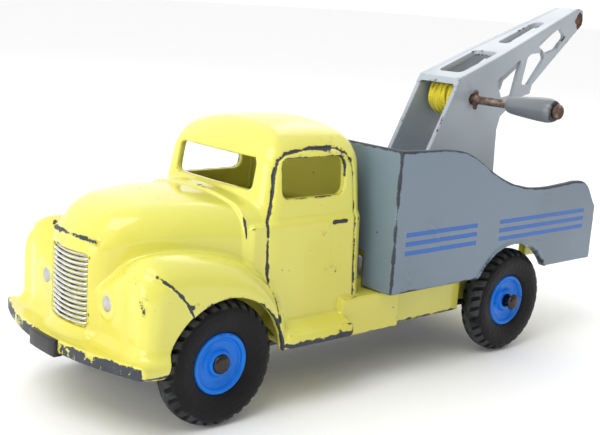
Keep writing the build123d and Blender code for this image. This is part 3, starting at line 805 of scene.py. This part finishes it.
def casting_wear(p, slope, bend):
    """Where the cab's enamel has gone: convex edges a little, and some stretches nearly all."""
    x, y, z = p.T
    side = np.abs(y)
    door = outline(x, z, DOOR_OUTLINE)
    on_side = ramp(side, 11.5, 12.5)
    door_top = on_side * ramp(x, 8.0, 12.0) * ramp(z, 30.0, 38.0)
    door_front = on_side * ramp(x, 20.0, 22.0) * ramp(z, 15.0, 22.0)
    on_wing = ramp(side, 14.8, 16.5) * ramp(27.0 - z, 0.5, 3.5)
    opening_lip = ramp(side, 17.5, 18.8) * (0.45 + 0.40 * ramp(30.0 - x, 0.0, 5.0))
    from_lip = np.hypot(x - nose_front(side, 28.0) - 0.2, z - 28.2 + 0.010 * side**2)
    rib = ramp(side, 12.6, 13.6) * ramp(z, 26.5, 28.5) * ramp(33.0 - z, 0.3, 1.4)
    board_lip = ramp(side, 18.6, 19.2) * ramp(x, 6.0, 8.0) * ramp(24.0 - x, 0.0, 1.5)
    on_handle = ramp(side, 15.0, 15.1) * ramp(x, 7.0, 7.6) * ramp(11.0 - x, 0.0, 0.6)
    wear = worn_along(
        0.30 * ramp(bend, 0.35, 1.6),
        (door, 0.27, 1.0 * door_top),
        (door, 0.28, 0.98 * door_front),
        (door, 0.25, 0.66 * on_side),
        (outline(x, z, FAIRING_EDGE), 0.30, 0.95 * on_wing),
        (opening_rim(x, z), 0.45, opening_lip),
        (z - 10.9, 0.40, 0.9 * ramp(x, 44.0, 46.0)),
        (from_lip, 0.5, 0.80 - 0.02 * y),
        (x - 28.0, 0.14, 0.85 * rib),
        (z - 10.9, 0.75, 0.95 * board_lip),
        (window_rim(x, z), 0.3, 0.62 * on_side),
        (np.hypot(x - 4.0, side - 14.4), 0.7, 0.52 * ramp(z, 15.0, 17.0)),
        (z - HANDLE_Z, 0.35, 1.1 * on_handle),
        (z - 9.3, 0.40, 0.72 * ramp(9.0 - x, 0.0, 1.0)),
    )
    # the whole face of the bumper is rubbed
    face = ramp(0.35 - np.abs(x - bumper_front(side)), 0.0, 0.2)
    wear = np.maximum(wear, 0.66 * face * ramp(z, 10.2, 10.8) * ramp(13.1 - z, 0.0, 0.4))
    return wear * ramp(casting_skin(x, y, z), -0.9, -0.5)


# ---------------------------------------------------------------- operators
class TOWTRUCK_OT_stage(bpy.types.Operator):
    """Adds the camera, the pale floor and the soft lights."""

    bl_idname = "towtruck.stage"
    bl_label = "Camera, floor and lights"

    def execute(self, context):
        scene = context.scene
        eye = bpy.data.cameras.new("camera")
        eye.lens = 63.75
        eye.sensor_width = 36.0
        eye.shift_x = 0.0067
        eye.shift_y = -0.0012
        eye.clip_start = 0.005
        eye.clip_end = 10.0
        camera = bpy.data.objects.new("camera", eye)
        turn = Matrix.Identity(4)
        for degrees, axis in ((138.03, "Z"), (90.0 - 11.831, "X"), (3.795, "Z")):
            turn = turn @ Matrix.Rotation(np.radians(degrees), 4, axis)
        camera.matrix_world = Matrix.Translation(Vector((128.57, 137.06, 65.07)) * MM) @ turn
        scene.collection.objects.link(camera)
        scene.camera = camera

        far = 4000
        points = np.array([(-far, -far, 0), (far, -far, 0), (far, far, 0), (-far, far, 0)], float)
        paint = Paint("pale_floor")
        tone = paint.mix(paint.noise(30.0, 2.0), (0.97, 0.97, 0.97), (0.99, 0.99, 0.99))
        material = paint.finish(Base_Color=tone, Roughness=0.9)
        floor = mesh_piece("floor", points, [(0, 1, 2, 3)], material, smooth=False)

        # white all round, and dimmer towards the truck's left so that its sides are shaded
        world = bpy.data.worlds.new("studio")
        world.use_nodes = True
        tree = world.node_tree
        tree.nodes["Background"].inputs["Color"].default_value = (1.0, 1.0, 1.0, 1.0)
        direction = tree.nodes.new("ShaderNodeTexCoord").outputs["Generated"]
        leftward = tree.nodes.new("ShaderNodeSeparateXYZ")
        tree.links.new(direction, leftward.inputs[0])
        dimmed = tree.nodes.new("ShaderNodeMapRange")
        for key, value in (("From Min", 0.0), ("From Max", 0.8), ("To Min", 1.15), ("To Max", 0.42)):
            dimmed.inputs[key].default_value = value
        tree.links.new(leftward.outputs["Y"], dimmed.inputs["Value"])
        tree.links.new(dimmed.outputs["Result"], tree.nodes["Background"].inputs["Strength"])
        scene.world = world
        for name, place, size, power in (
            ("key", (0.30, 0.10, 0.48), 0.30, 1.1),
            ("front", (0.42, 0.05, 0.12), 0.22, 0.45),
            ("back", (-0.36, -0.20, 0.36), 0.30, 0.3),
        ):
            light = bpy.data.lights.new(name, "AREA")
            light.size = size
            light.energy = power
            lamp = bpy.data.objects.new(name, light)
            lamp.location = place
            aim = Vector((0.0, 0.0, 0.02)) - Vector(place)
            lamp.rotation_euler = aim.to_track_quat("-Z", "Y").to_euler()
            scene.collection.objects.link(lamp)
        scene.view_settings.view_transform = "Standard"
        return {"FINISHED"}


class TOWTRUCK_OT_casting(bpy.types.Operator):
    """Makes the cab casting: bonnet, wings, cab, bumper and running boards in one."""

    bl_idname = "towtruck.casting"
    bl_label = "Cab casting"

    def execute(self, context):
        colours = context.scene.tow_truck_colours
        material = enamel("yellow_enamel", colours.yellow, (0.62, 0.54, 0.05), colours.bare)
        piece = level_piece(
            "cab_casting_skin", casting_solid, (-57.0, -21.2, 7.4), (55.2, 21.2, 46.0), 0.30,
            material, 185000, casting_wear,
        )
        seated(piece, "chassis", "yellow_enamel", "cab_casting")
        return {"FINISHED"}


# ---------------------------------------------------------------- rear body
SIDE_TOP = curve_through(
    (-58.2, 27.0), (-57.4, 27.6), (-56.2, 29.3), (-54.8, 31.2), (-53.4, 32.2), (-51.0, 32.6), (-47.0, 32.4),
    (-41.0, 32.1), (-36.0, 32.3), (-31.5, 33.1), (-27.2, 34.6), (-23.0, 36.6), (-19.6, 38.5), (-16.6, 39.8),
    (-12.4, 40.55), (-6.0, 40.8), (1.0, 41.0),
)
FLOOR_LOW, FLOOR_HIGH = 22.55, 24.0
BODY_ARCH_X, BODY_ARCH = -32.4, 11.8


def body_arch(x, z):
    """Distance from the rim of the rear wheel opening, less than zero inside it."""
    return np.hypot(x - BODY_ARCH_X, z - AXLE_Z) - BODY_ARCH


def body_solid(x, y, z):
    """The rear body: a tray with high sides, swept down behind the crane, open over the wheels."""
    side = np.abs(y)
    wall = bpy.context.scene.tow_truck_sizes.body_wall / MM
    middle, half = (BODY_LOW[0] + BODY_HIGH[0]) / 2, (BODY_HIGH[0] - BODY_LOW[0]) / 2
    plan = both(np.abs(x - middle) - half, side - BODY_HIGH[1] + 0.3, 0.5)
    walls = both(plan, -(plan + wall), 0.1)
    walls = both(walls, z - SIDE_TOP(x), 0.4)
    floor = np.maximum(plan + 0.5, np.abs(z - (FLOOR_LOW + FLOOR_HIGH) / 2) - (FLOOR_HIGH - FLOOR_LOW) / 2)
    solid = either(walls, floor, 0.7)
    rim = np.hypot(body_arch(x, z) - 0.30, side - BODY_HIGH[1] + 0.40) - 0.42
    solid = either(solid, np.maximum(rim, side - BODY_HIGH[1] + 0.02), 0.15)
    solid = both(solid, -np.maximum(body_arch(x, z), 6.0 - side), 0.25)
    under = np.maximum(side - RAIL_HALF - 0.1, z - FLOOR_LOW)
    solid = both(solid, -under, 0.15)
    return both(solid, BODY_LOW[2] - z, 0.35)


def body_wear(p, slope, bend):
    """Where the body's enamel has gone: nearly all along its top edge and its front corners."""
    x, y, z = p.T
    side = np.abs(y)
    upright = np.abs(slope[:, 2]) < 0.9
    return worn_along(
        0.34 * ramp(bend, 0.4, 1.6),
        (z - SIDE_TOP(x), 0.42, 1.0),
        (np.hypot(x - BODY_HIGH[0], side - BODY_HIGH[1] + 0.3), 0.48, 0.98),
        (z - BODY_LOW[2], 0.40, 0.62 * upright),
        (np.hypot(x - BODY_LOW[0], side - BODY_HIGH[1]), 0.45, 0.55),
        (body_arch(x, z), 0.45, 0.42),
    )


def coach_lines(paint):
    """Two blocks of three plain blue lines along each side, with edges that have begun to rub away."""
    x, y, z = (paint.axis(letter) * 1000.0 for letter in "XYZ")
    on_side = y.maths("ABSOLUTE", y).above(19.7, 19.75)
    ragged = (paint.noise(0.6, 3.0, 0.7) - 0.5) * 0.25
    blocks = None
    for middle, half in ((-11.4, 9.4), (-40.6, 13.4)):
        away = x.maths("ABSOLUTE", x - middle)
        inside = 1.0 - (away + ragged).above(half - 0.05, half + 0.05)
        blocks = inside if blocks is None else blocks.most(inside)
    phase = z.maths("FRACT", (z + ragged - 22.9) * (1.0 / 1.6))
    line = phase.above(0.0, 0.04) * (1.0 - phase.above(0.50, 0.56))
    band = z.above(22.8, 22.9) * (1.0 - z.above(27.2, 27.3))
    rubbed = 1.0 - paint.noise(1.5, 4.0, 0.7).above(0.66, 0.74) * 0.8
    return on_side * blocks * line * band * rubbed


class TOWTRUCK_OT_body(bpy.types.Operator):
    """Makes the rear body with its swept sides, wheel openings and load floor."""

    bl_idname = "towtruck.body"
    bl_label = "Rear body"

    def execute(self, context):
        colours = context.scene.tow_truck_colours
        deep = scaled(colours.grey, 0.72)
        material = enamel("grey_enamel", colours.grey, deep, colours.bare, 0.2, coach_lines)
        piece = level_piece(
            "rear_body_shell", body_solid, BODY_LOW - 1.0, BODY_HIGH + 1.0, 0.30,
            material, 130000, body_wear,
        )
        seated(piece, "chassis", "grey_enamel", "rear_body")
        material = steel_finish("rivet_steel", (0.30, 0.30, 0.31), (0.16, 0.07, 0.03), 0.5)
        for node, top in (("body_rivets", FLOOR_HIGH), ("crane_rivets", FLOOR_HIGH + 1.2)):
            low, high = box_mm(node)
            inset, foot = 1.6, FLOOR_LOW - 1.5 - top
            profile = (
                (0.0, 0.58), (0.5, 0.55), (1.0, 0.42), (1.4, 0.2), (1.55, -0.2), (0.9, -0.3), (0.9, foot),
                (0.0, foot),
            )
            points, faces = lathe(profile, 0.0, 0.0, steps=24, closed=False)
            heads = [
                (np.stack([x + points[:, 0], y + points[:, 2], top + points[:, 1]], axis=1), faces)
                for x in (low[0] + inset, high[0] - inset)
                for y in (low[1] + inset, high[1] - inset)
            ]
            piece = weld(mesh_piece(node + "_domed", *joined(*heads), material))
            seated(piece, "chassis", "steel_rivet", node)
        return {"FINISHED"}


# ---------------------------------------------------------------- crane
SIDE_PLATE = (
    (-15.2, 24.0), (-29.8, 51.3), (-69.2, 65.85), (-71.0, 65.4), (-71.4, 63.4), (-71.2, 62.4), (-53.9, 49.8),
    (-53.4, 48.0), (-49.6, 47.3), (-45.2, 44.8), (-43.4, 43.6), (-42.6, 41.0), (-43.4, 24.0),
)
JIB_OPENINGS = (
    ((-41.8, 50.6), (-48.4, 54.3), (-46.6, 48.2), (-43.4, 47.8)),
    ((-51.8, 55.6), (-56.4, 56.0), (-57.0, 55.2), (-52.2, 50.3), (-50.4, 50.4)),
    ((-55.6, 57.9), (-62.4, 61.0), (-64.0, 59.8), (-61.4, 57.6), (-58.0, 56.8)),
)
WEB_SLOTS = ((-37.9, 5.4, 2.85), (-54.1, 6.0, 1.3))
WEB_START, WEB_END = np.array((-29.8, 51.3)), np.array((-69.2, 65.9))
CRANE_HALF = curve_through(
    (-72.0, 2.8), (-60.0, 3.7), (-50.0, 4.55), (-42.0, 5.1), (-36.0, 5.2), (-10.0, 5.2),
)


def crane_solid(x, y, z):
    """Two pierced side plates that lean together towards the tip, joined by a slotted top web."""
    side = np.abs(y)
    half = CRANE_HALF(x)
    profile = outline(x, z, SIDE_PLATE)
    plate = both(profile, np.abs(side - half + 0.5) - 0.5, 0.22)
    for opening in JIB_OPENINGS:
        plate = both(plate, -(outline(x, z, opening) - 0.45), 0.2)
    # top web: a skin one millimetre thick under the sloping edge
    run = (WEB_END - WEB_START) / np.linalg.norm(WEB_END - WEB_START)
    above = (x - WEB_START[0]) * run[1] - (z - WEB_START[1]) * run[0]
    web = np.maximum(np.abs(above + 0.5) - 0.5, profile)
    web = both(web, side - half + 0.2, 0.1)
    for middle, length, slot_half in WEB_SLOTS:
        web = both(web, -both(np.abs(x - middle) - length, side - slot_half, 1.0), 0.2)
    tip = np.maximum(block(x, side, z, (-71.2, -5.0, 64.4), (-66.0, 3.0, 66.2)), profile + 0.1)
    solid = either(plate, either(web, np.maximum(tip, side - half + 0.3), 0.2), 0.45)
    foot = block(x, side, z, (-43.3, 4.2, 24.0), (-15.3, 9.3, 25.2), 0.3)
    solid = either(solid, foot, 0.5)
    bearing = np.hypot(x - WINCH_X, z - WINCH_Z) - 0.9
    return np.maximum(both(solid, -bearing, 0.12), z - CRANE_HIGH[2] + 0.06)


def crane_wear(p, slope, bend):
    """The crane's enamel has gone only in places along its edges, and round its tip."""
    x, y, z = p.T
    wear = 0.30 * ramp(bend, 0.5, 1.8)
    tip = 1.1 * ramp(1.0 - np.hypot((x + 69.8) / 1.25, (z - 63.3) / 1.9), -0.15, 0.25)
    from_winch = np.hypot(x - WINCH_X, z - WINCH_Z)
    return worn_along(np.maximum(wear, tip), (from_winch, 2.6, 0.45 * (np.abs(y) < 4.6)))


class TOWTRUCK_OT_crane(bpy.types.Operator):
    """Makes the crane's plates, top web and feet."""

    bl_idname = "towtruck.crane"
    bl_label = "Crane"

    def execute(self, context):
        colours = context.scene.tow_truck_colours
        rusty = (0.050, 0.020, 0.014)
        material = enamel("crane_grey", colours.crane, scaled(colours.crane, 0.75), rusty, 0.3, gloss=0.3)
        piece = level_piece(
            "crane_plates", crane_solid, CRANE_LOW - 0.9, CRANE_HIGH + 0.9, 0.25,
            material, 90000, crane_wear,
        )
        seated(piece, "chassis", "crane_grey", "crane_frame")
        return {"FINISHED"}


# ---------------------------------------------------------------- winch
CORD_TURNS = 30
CORD_SIDES = 8


def spindle_solid(x, y, z):
    """A round shaft, squeezed out to ears just outside each plate, with a riveted end."""
    across = np.hypot(x - WINCH_X, z - WINCH_Z)
    middle, half = (SPINDLE_LOW[1] + SPINDLE_HIGH[1]) / 2, (SPINDLE_HIGH[1] - SPINDLE_LOW[1]) / 2
    shaft = both(across - 0.80, np.abs(y - middle) - half + 0.1, 0.3)
    ears = both(np.abs(x - WINCH_X) - 0.45, np.abs(z - WINCH_Z) - 1.9, 0.4)
    ears = both(ears, np.abs(np.abs(y) - 6.0) - 0.32, 0.25)
    head = both(across - 1.4, np.abs(y - SPINDLE_HIGH[1] + 0.55) - 0.5, 0.45)
    return either(either(shaft, ears, 0.5), head, 0.2)


def round_spindle(radius, y, angle):
    """Points at a radius and an angle about the spindle, which runs along y."""
    return np.stack([WINCH_X + radius * np.sin(angle), y, WINCH_Z + radius * np.cos(angle)], axis=1)


def winding_path():
    """The cord's line on the spindle: turns that travel to and fro between the plates while their radius
    grows, with a slow wander that is different for each turn."""
    rng = np.random.default_rng(SEED)
    t = np.linspace(0, CORD_TURNS, CORD_TURNS * 26)
    knots = np.arange(CORD_TURNS * 3 + 2)
    wander_r, wander_y = (np.interp(t * 3, knots, rng.normal(0, 1, len(knots))) for _ in range(2))
    travel = np.abs((t / 5.0) % 2 - 1) * 2 - 1
    layer = t / CORD_TURNS
    radius = 1.6 + 2.3 * layer * (1.0 - 0.18 * travel**2) + 0.18 * wander_r
    y = 3.2 * travel * (1.0 - 0.08 * layer) + 0.28 * wander_y
    limit = (CORD_HIGH[2] - CORD_LOW[2]) / 2 - 0.42
    return round_spindle(np.clip(radius, 1.25, limit), np.clip(y, -3.4, 3.4), 2 * np.pi * t)


def loose_strands():
    """Short loops that have slipped off the winding: arcs that hang forward and down from its surface."""
    rng = np.random.default_rng(SEED + 1)
    strands = []
    for _ in range(9):
        start, sweep = rng.uniform(0.2, 1.6), rng.uniform(1.2, 2.2)
        t = np.linspace(0, 1, 30)
        swell = rng.uniform(0.1, 0.35)
        radius = 3.1 + swell * np.sin(np.pi * t) + rng.uniform(-0.1, 0.1)
        y = rng.uniform(-2.7, 2.7) + rng.uniform(-1.2, 1.2) * t
        strands.append(round_spindle(radius, np.clip(y, -3.2, 3.2), start + sweep * t))
    return strands


class TOWTRUCK_OT_winch(bpy.types.Operator):
    """Makes the winch: spindle, knob and the cord wound between the plates."""

    bl_idname = "towtruck.winch"
    bl_label = "Winch"

    def execute(self, context):
        colours = context.scene.tow_truck_colours
        material = steel_finish("worn_steel", (0.40, 0.33, 0.28), (0.085, 0.040, 0.022), 0.7, 0.30)
        piece = level_piece(
            "winch_spindle_shaft", spindle_solid, SPINDLE_LOW - 0.8, SPINDLE_HIGH + 0.8, 0.14,
            material, 30000, lambda p, slope, bend: np.zeros(len(p)),
        )
        seated(piece, "winch", "worn_steel", "winch_spindle")

        start, end = KNOB_LOW[1], KNOB_HIGH[1]
        profile = rounded_profile((
            (0.83, start), (1.35, start), (1.62, start + 0.7), (1.80, start + 2.2), (2.05, start + 5.0),
            (2.22, start + 7.4), (2.24, end - 1.3), (2.0, end - 0.5), (1.75, end), (0.83, end),
        ), 0.5)
        points, faces = lathe(profile, WINCH_X, WINCH_Z, steps=72)
        ends = 0.75 * np.exp(-(((points[:, 1] - end) / 0.6) ** 2))
        ends += 0.4 * np.exp(-(((points[:, 1] - start) / 0.4) ** 2))
        tone, deep = scaled(colours.crane, 0.38), scaled(colours.crane, 0.24)
        grip = enamel("knob_grey", tone, deep, colours.bare, 0.28)
        knob = weld(mesh_piece("winch_knob_grip", points, faces, grip, wear=ends))
        seated(knob, "winch", "knob_grey", "winch_knob")

        radius = context.scene.tow_truck_sizes.cord / MM / 2
        paths = [winding_path(), *loose_strands()]
        coords, quads = joined(*[tube(path, radius, CORD_SIDES) for path in paths])
        cord = mesh_piece("winch_cord_winding", coords, quads, cord_finish())
        # the cord's map: millimetres along it, and the share of a turn around it
        uv = []
        for path in paths:
            steps = np.linalg.norm(np.diff(path, axis=0), axis=1)
            along = np.repeat(np.concatenate([[0], np.cumsum(steps)]), CORD_SIDES)
            around = np.tile(np.arange(CORD_SIDES) / CORD_SIDES, len(path))
            uv.append(np.stack([along, around], axis=1))
        corner = np.zeros(len(cord.data.loops), np.int32)
        cord.data.loops.foreach_get("vertex_index", corner)
        uv = np.vstack(uv)[corner].astype(np.float32)
        cord.data.uv_layers.new(name="along").data.foreach_set("uv", uv.ravel())
        seated(cord, "winch", "yellow_cord", "winch_cord")
        return {"FINISHED"}


# ---------------------------------------------------------------- wheels
LUGS = 30
TYRE_MIDDLE = 16.3


def tyre_surface(x, z, side):
    """A tyre turned about its axle. Its section is an arch from bead to bead, and its tread is cut by
    slanting grooves that run from each shoulder towards the middle rib, half a lug apart."""
    section = rounded_profile((
        (4.52, 15.4), (4.52, 17.3), (5.05, 17.9), (5.6, 18.25), (6.6, 18.55), (7.6, 18.68), (8.5, 18.6),
        (9.3, 18.2), (9.85, 17.3), (10.0, TYRE_MIDDLE), (9.85, 15.3), (9.3, 14.4), (8.5, 14.02), (7.6, 13.95),
        (6.6, 14.1), (5.6, 14.35), (5.05, 14.7), (4.52, 15.2), (4.52, 15.4),
    ), 0.8, steps=5)[:-1]
    steps = LUGS * 12
    angle = np.linspace(0, 2 * np.pi, steps, endpoint=False)
    radius, along = section[:, :1], section[:, 1:]
    middle = along - TYRE_MIDDLE
    slant = angle * LUGS / (2 * np.pi) + 0.22 * np.abs(middle) + 0.5 * (middle > 0)
    phase = np.abs((slant % 1.0) - 0.5) * 2
    shoulder = ramp(np.abs(middle), 0.45, 0.9) * ramp(radius, 8.7, 9.3)
    groove = (1 - ramp(phase, 0.22, 0.42)) * shoulder
    # two fine rings are turned into the walls
    ring = np.exp(-(((radius - 7.9) / 0.10) ** 2)) * 0.10 + np.exp(-(((radius - 5.9) / 0.12) ** 2)) * 0.12
    sink = 0.42 * groove + ring + 0 * angle
    toward = np.sign(middle) * (1 - ramp(radius, 9.6, 9.95)) * 0.35
    r = radius - sink * (0.35 + 0.65 * ramp(radius, 9.0, 9.8))
    y = side * (along - toward * sink)
    points = np.stack([x + r * np.sin(angle), y + 0 * angle, z + r * np.cos(angle)], axis=-1).reshape(-1, 3)
    raised = ramp(radius, 8.2, 9.2) * (1 - groove) + 0.3 * np.exp(-(((radius - 7.5) / 0.5) ** 2))
    faces = grid_faces(len(section), steps, close_rows=True, close_columns=True)
    return points, faces if side > 0 else faces[:, ::-1], raised.ravel()


HUB_SECTION = (
    (1.2, 12.85), (2.3, 12.85), (2.35, 14.3), (4.6, 14.6), (4.85, 14.7), (4.85, 15.2), (4.42, 15.4),
    (4.42, 17.2), (4.86, 17.35), (4.88, 17.75), (4.66, 17.98), (4.35, 17.96), (4.12, 17.78),
    (3.98, 17.40), (3.72, 17.30), (3.45, 17.42), (3.0, 17.26), (2.5, 17.18), (2.2, 17.30), (2.0, 17.75),
    (1.8, 17.9), (1.2, 17.9),
)
HUB_RIM_Y = 17.95


class TOWTRUCK_OT_wheels(bpy.types.Operator):
    """Makes the tyres, the dished hubs and the axles with their domed heads."""

    bl_idname = "towtruck.wheels"
    bl_label = "Wheels and axles"

    def execute(self, context):
        colours = context.scene.tow_truck_colours
        rubber = rubber_finish()
        blue = enamel("blue_enamel", colours.blue, scaled(colours.blue, 0.6), colours.bare, 0.25, gloss=0.1)
        steel = steel_finish("axle_steel", (0.060, 0.052, 0.050), (0.030, 0.018, 0.015), 0.3, 0.26)
        for end, x, reach in (("front", AXLE_X, 0.6), ("rear", -AXLE_X, 2.0)):
            for side_name, side in (("left", 1), ("right", -1)):
                points, faces, raised = tyre_surface(x, AXLE_Z, side)
                tyre = mesh_piece(f"tyre_{end}_{side_name}_tread", points, faces, rubber, wear=raised)
                seated(weld(tyre), f"wheel_{end}_{side_name}", "black_rubber", f"tyre_{end}_{side_name}")
                profile = rounded_profile((*HUB_SECTION, HUB_SECTION[0]), 0.3, steps=4)[:-1]
                points, faces = lathe(profile, x, AXLE_Z, side, steps=80)
                edge = np.exp(-(((np.abs(points[:, 1]) - HUB_RIM_Y) / 0.15) ** 2)) * 0.22
                hub = mesh_piece(f"hub_{end}_{side_name}_dish", points, faces, blue, wear=edge)
                seated(weld(hub), f"wheel_{end}_{side_name}", "blue_enamel", f"hub_{end}_{side_name}")
            head = HUB_HIGH[1] + reach
            half = [
                (1.05, 0.0), (1.05, head - 0.74), (1.50, head - 0.72), (1.55, head - 0.60),
                (1.44, head - 0.36), (1.15, head - 0.16), (0.65, head - 0.05), (0.0, head - 0.01),
            ]
            whole = [(r, -y) for r, y in half[:0:-1]] + half
            points, faces = lathe(rounded_profile(whole, 0.3), x, AXLE_Z, steps=48, closed=False)
            axle = weld(mesh_piece(f"{end}_axle_rod", points, faces, steel))
            seated(axle, f"{end}_axle_set", "axle_steel", f"{end}_axle")
        return {"FINISHED"}


# ---------------------------------------------------------------- front details and base
def carried(profile, stations):
    """A closed profile carried through stations. Each station gives where a profile point (u, v) goes in
    space; the first and last are shrunk to their middles so that the ends close."""
    profile = np.asarray(profile, float)
    shrunk = profile.mean(0) + (profile - profile.mean(0)) * 1e-3
    rows = [stations[0](shrunk), *[station(profile) for station in stations], stations[-1](shrunk)]
    return np.vstack(rows), grid_faces(len(rows), len(profile), close_columns=True)


class TOWTRUCK_OT_front(bpy.types.Operator):
    """Makes the corrugated grille, the headlamp lenses and the blank number plate."""

    bl_idname = "towtruck.front"
    bl_label = "Grille, headlamps and plate"

    def execute(self, context):
        bars = context.scene.tow_truck_sizes.grille_bars
        silver = silver_finish("silver_paint", 0.85)
        # grille: height waves from bar to bar over a bowed plane, and falls back at its edges
        across, up = np.meshgrid(
            np.linspace(-GRILLE_HALF, GRILLE_HALF, 49),
            np.linspace(GRILLE_LOW, GRILLE_HIGH, bars * 12 + 1), indexing="ij",
        )
        lift = up - GRILLE_LOW + 0.25 * (1 - (across / GRILLE_HALF) ** 2)
        wave = 0.5 + 0.5 * np.cos(lift / (GRILLE_HIGH - GRILLE_LOW) * bars * 2 * np.pi)
        edge = ramp(GRILLE_HALF - np.abs(across), 0.0, 0.35)
        edge = edge * ramp(up - GRILLE_LOW, 0.0, 0.3) * ramp(GRILLE_HIGH - up, 0.0, 0.3)
        x = nose_front(across, up) - 0.62 + 0.62 * wave * edge
        front = np.stack([x, across, up], axis=-1)
        back = front.copy()
        back[..., 0] = nose_front(across, up) - 0.95
        faces = grid_faces(*across.shape)
        shell = joined((front, faces), (back, faces[:, ::-1]))
        # hollow is 1 between the bars and 0 on their crests, and turns the silver near black there
        grille = mesh_piece("radiator_grille", *shell, silver, hollow=np.tile(1 - wave.ravel(), 2))
        seated(grille, "chassis", "yellow_enamel")

        profile = rounded_profile((
            (0.0, 0.75), (0.8, 0.66), (1.4, 0.36), (1.85, -0.1), (1.85, -0.5), (0.0, -0.5),
        ), 0.5)
        lamp_silver = silver_finish("lamp_silver", 0.5, 0.55)
        for name, side in (("left", 1), ("right", -1)):
            points, faces = lathe(profile, 0.0, 0.0, steps=48, closed=False)
            placed = points[:, (1, 0, 2)] + (LAMP_X, side * LAMP_SIDE, LAMP_Z)
            hollow = np.full(len(placed), 0.1)
            lens = weld(mesh_piece(f"headlamp_{name}", placed, faces, lamp_silver, hollow=hollow))
            seated(lens, "chassis", "yellow_enamel")

        # number plate: a bar bent to the bumper's bow, with pinched ends
        depth, low, high = CASTING_HIGH[0] - BUMPER_X - 0.1, 10.35, 12.95
        corners = ((-0.9, low), (depth, low), (depth, high), (-0.9, high))
        profile = rounded_profile((corners[-1], *corners, corners[0]), 0.22, steps=3)[1:-1]
        stations = [
            lambda p, y=y, shrink=shrink: np.stack([
                bumper_front(y) + p[:, 0] * shrink - 0.3 * (1 - shrink), np.full(len(p), y),
                (low + high) / 2 * (1 - shrink) + p[:, 1] * shrink,
            ], axis=1)
            for y, shrink in (
                (-3.85, 0.86), (-3.75, 0.96), (-3.6, 1.0), (-1.8, 1.0), (0, 1.0), (1.8, 1.0), (3.6, 1.0),
                (3.75, 0.96), (3.85, 0.86),
            )
        ]
        paint = Paint("black_gloss")
        dust = paint.noise(1.5, 4.0, 0.7)
        material = paint.finish(
            Base_Color=paint.mix(dust.above(0.5, 0.8), (0.004, 0.004, 0.005), (0.03, 0.03, 0.03)),
            Roughness=0.22 + dust * 0.3, Normal=paint.bump(dust, 0.03),
        )
        plate = weld(mesh_piece("number_plate", *carried(profile, stations), material))
        seated(plate, "chassis", "black_tin")
        return {"FINISHED"}


class TOWTRUCK_OT_base(bpy.types.Operator):
    """Finishes the tin base, its rivets and the pin at the jib's tip, whose frame shapes are right."""

    bl_idname = "towtruck.base"
    bl_label = "Base and pins"

    def execute(self, context):
        rust = (0.16, 0.07, 0.03)
        for node, material in (
            ("base_plate", tin_finish()),
            ("base_rivets", steel_finish("base_rivet_steel", (0.40, 0.40, 0.41), rust, 0.3)),
            ("jib_tip_pin", steel_finish("tip_pin_steel", (0.20, 0.15, 0.13), rust, 0.9)),
        ):
            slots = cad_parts[node].data.materials
            slots.clear()
            slots.append(material)
        return {"FINISHED"}


GROUPS = (TowTruckSizes, TowTruckColours)
OPERATORS = (
    TOWTRUCK_OT_stage, TOWTRUCK_OT_casting, TOWTRUCK_OT_front, TOWTRUCK_OT_body, TOWTRUCK_OT_crane,
    TOWTRUCK_OT_winch, TOWTRUCK_OT_wheels, TOWTRUCK_OT_base,
)


class TOWTRUCK_PT_panel(bpy.types.Panel):
    """Lists the tow truck's sizes, colours and pieces."""

    bl_label = "Tow truck"
    bl_idname = "TOWTRUCK_PT_panel"
    bl_space_type = "VIEW_3D"
    bl_region_type = "UI"
    bl_category = "Tow truck"

    def draw(self, context):
        column = self.layout.column()
        for group in (context.scene.tow_truck_sizes, context.scene.tow_truck_colours):
            for key in group.__annotations__:
                column.prop(group, key)
        for operator in OPERATORS:
            column.operator(operator.bl_idname)


def register():
    """Registers the classes and puts the sizes and colours on the scene."""
    for made in (*GROUPS, *OPERATORS, TOWTRUCK_PT_panel):
        bpy.utils.register_class(made)
    bpy.types.Scene.tow_truck_sizes = bpy.props.PointerProperty(type=TowTruckSizes)
    bpy.types.Scene.tow_truck_colours = bpy.props.PointerProperty(type=TowTruckColours)


def unregister():
    """Takes them away again."""
    del bpy.types.Scene.tow_truck_colours
    del bpy.types.Scene.tow_truck_sizes
    for made in (TOWTRUCK_PT_panel, *OPERATORS, *GROUPS):
        bpy.utils.unregister_class(made)


def main():
    """Builds everything in order."""
    register()
    for operator in OPERATORS:
        group, name = operator.bl_idname.split(".")
        getattr(getattr(bpy.ops, group), name)()


if __name__ == "__main__":
    main()
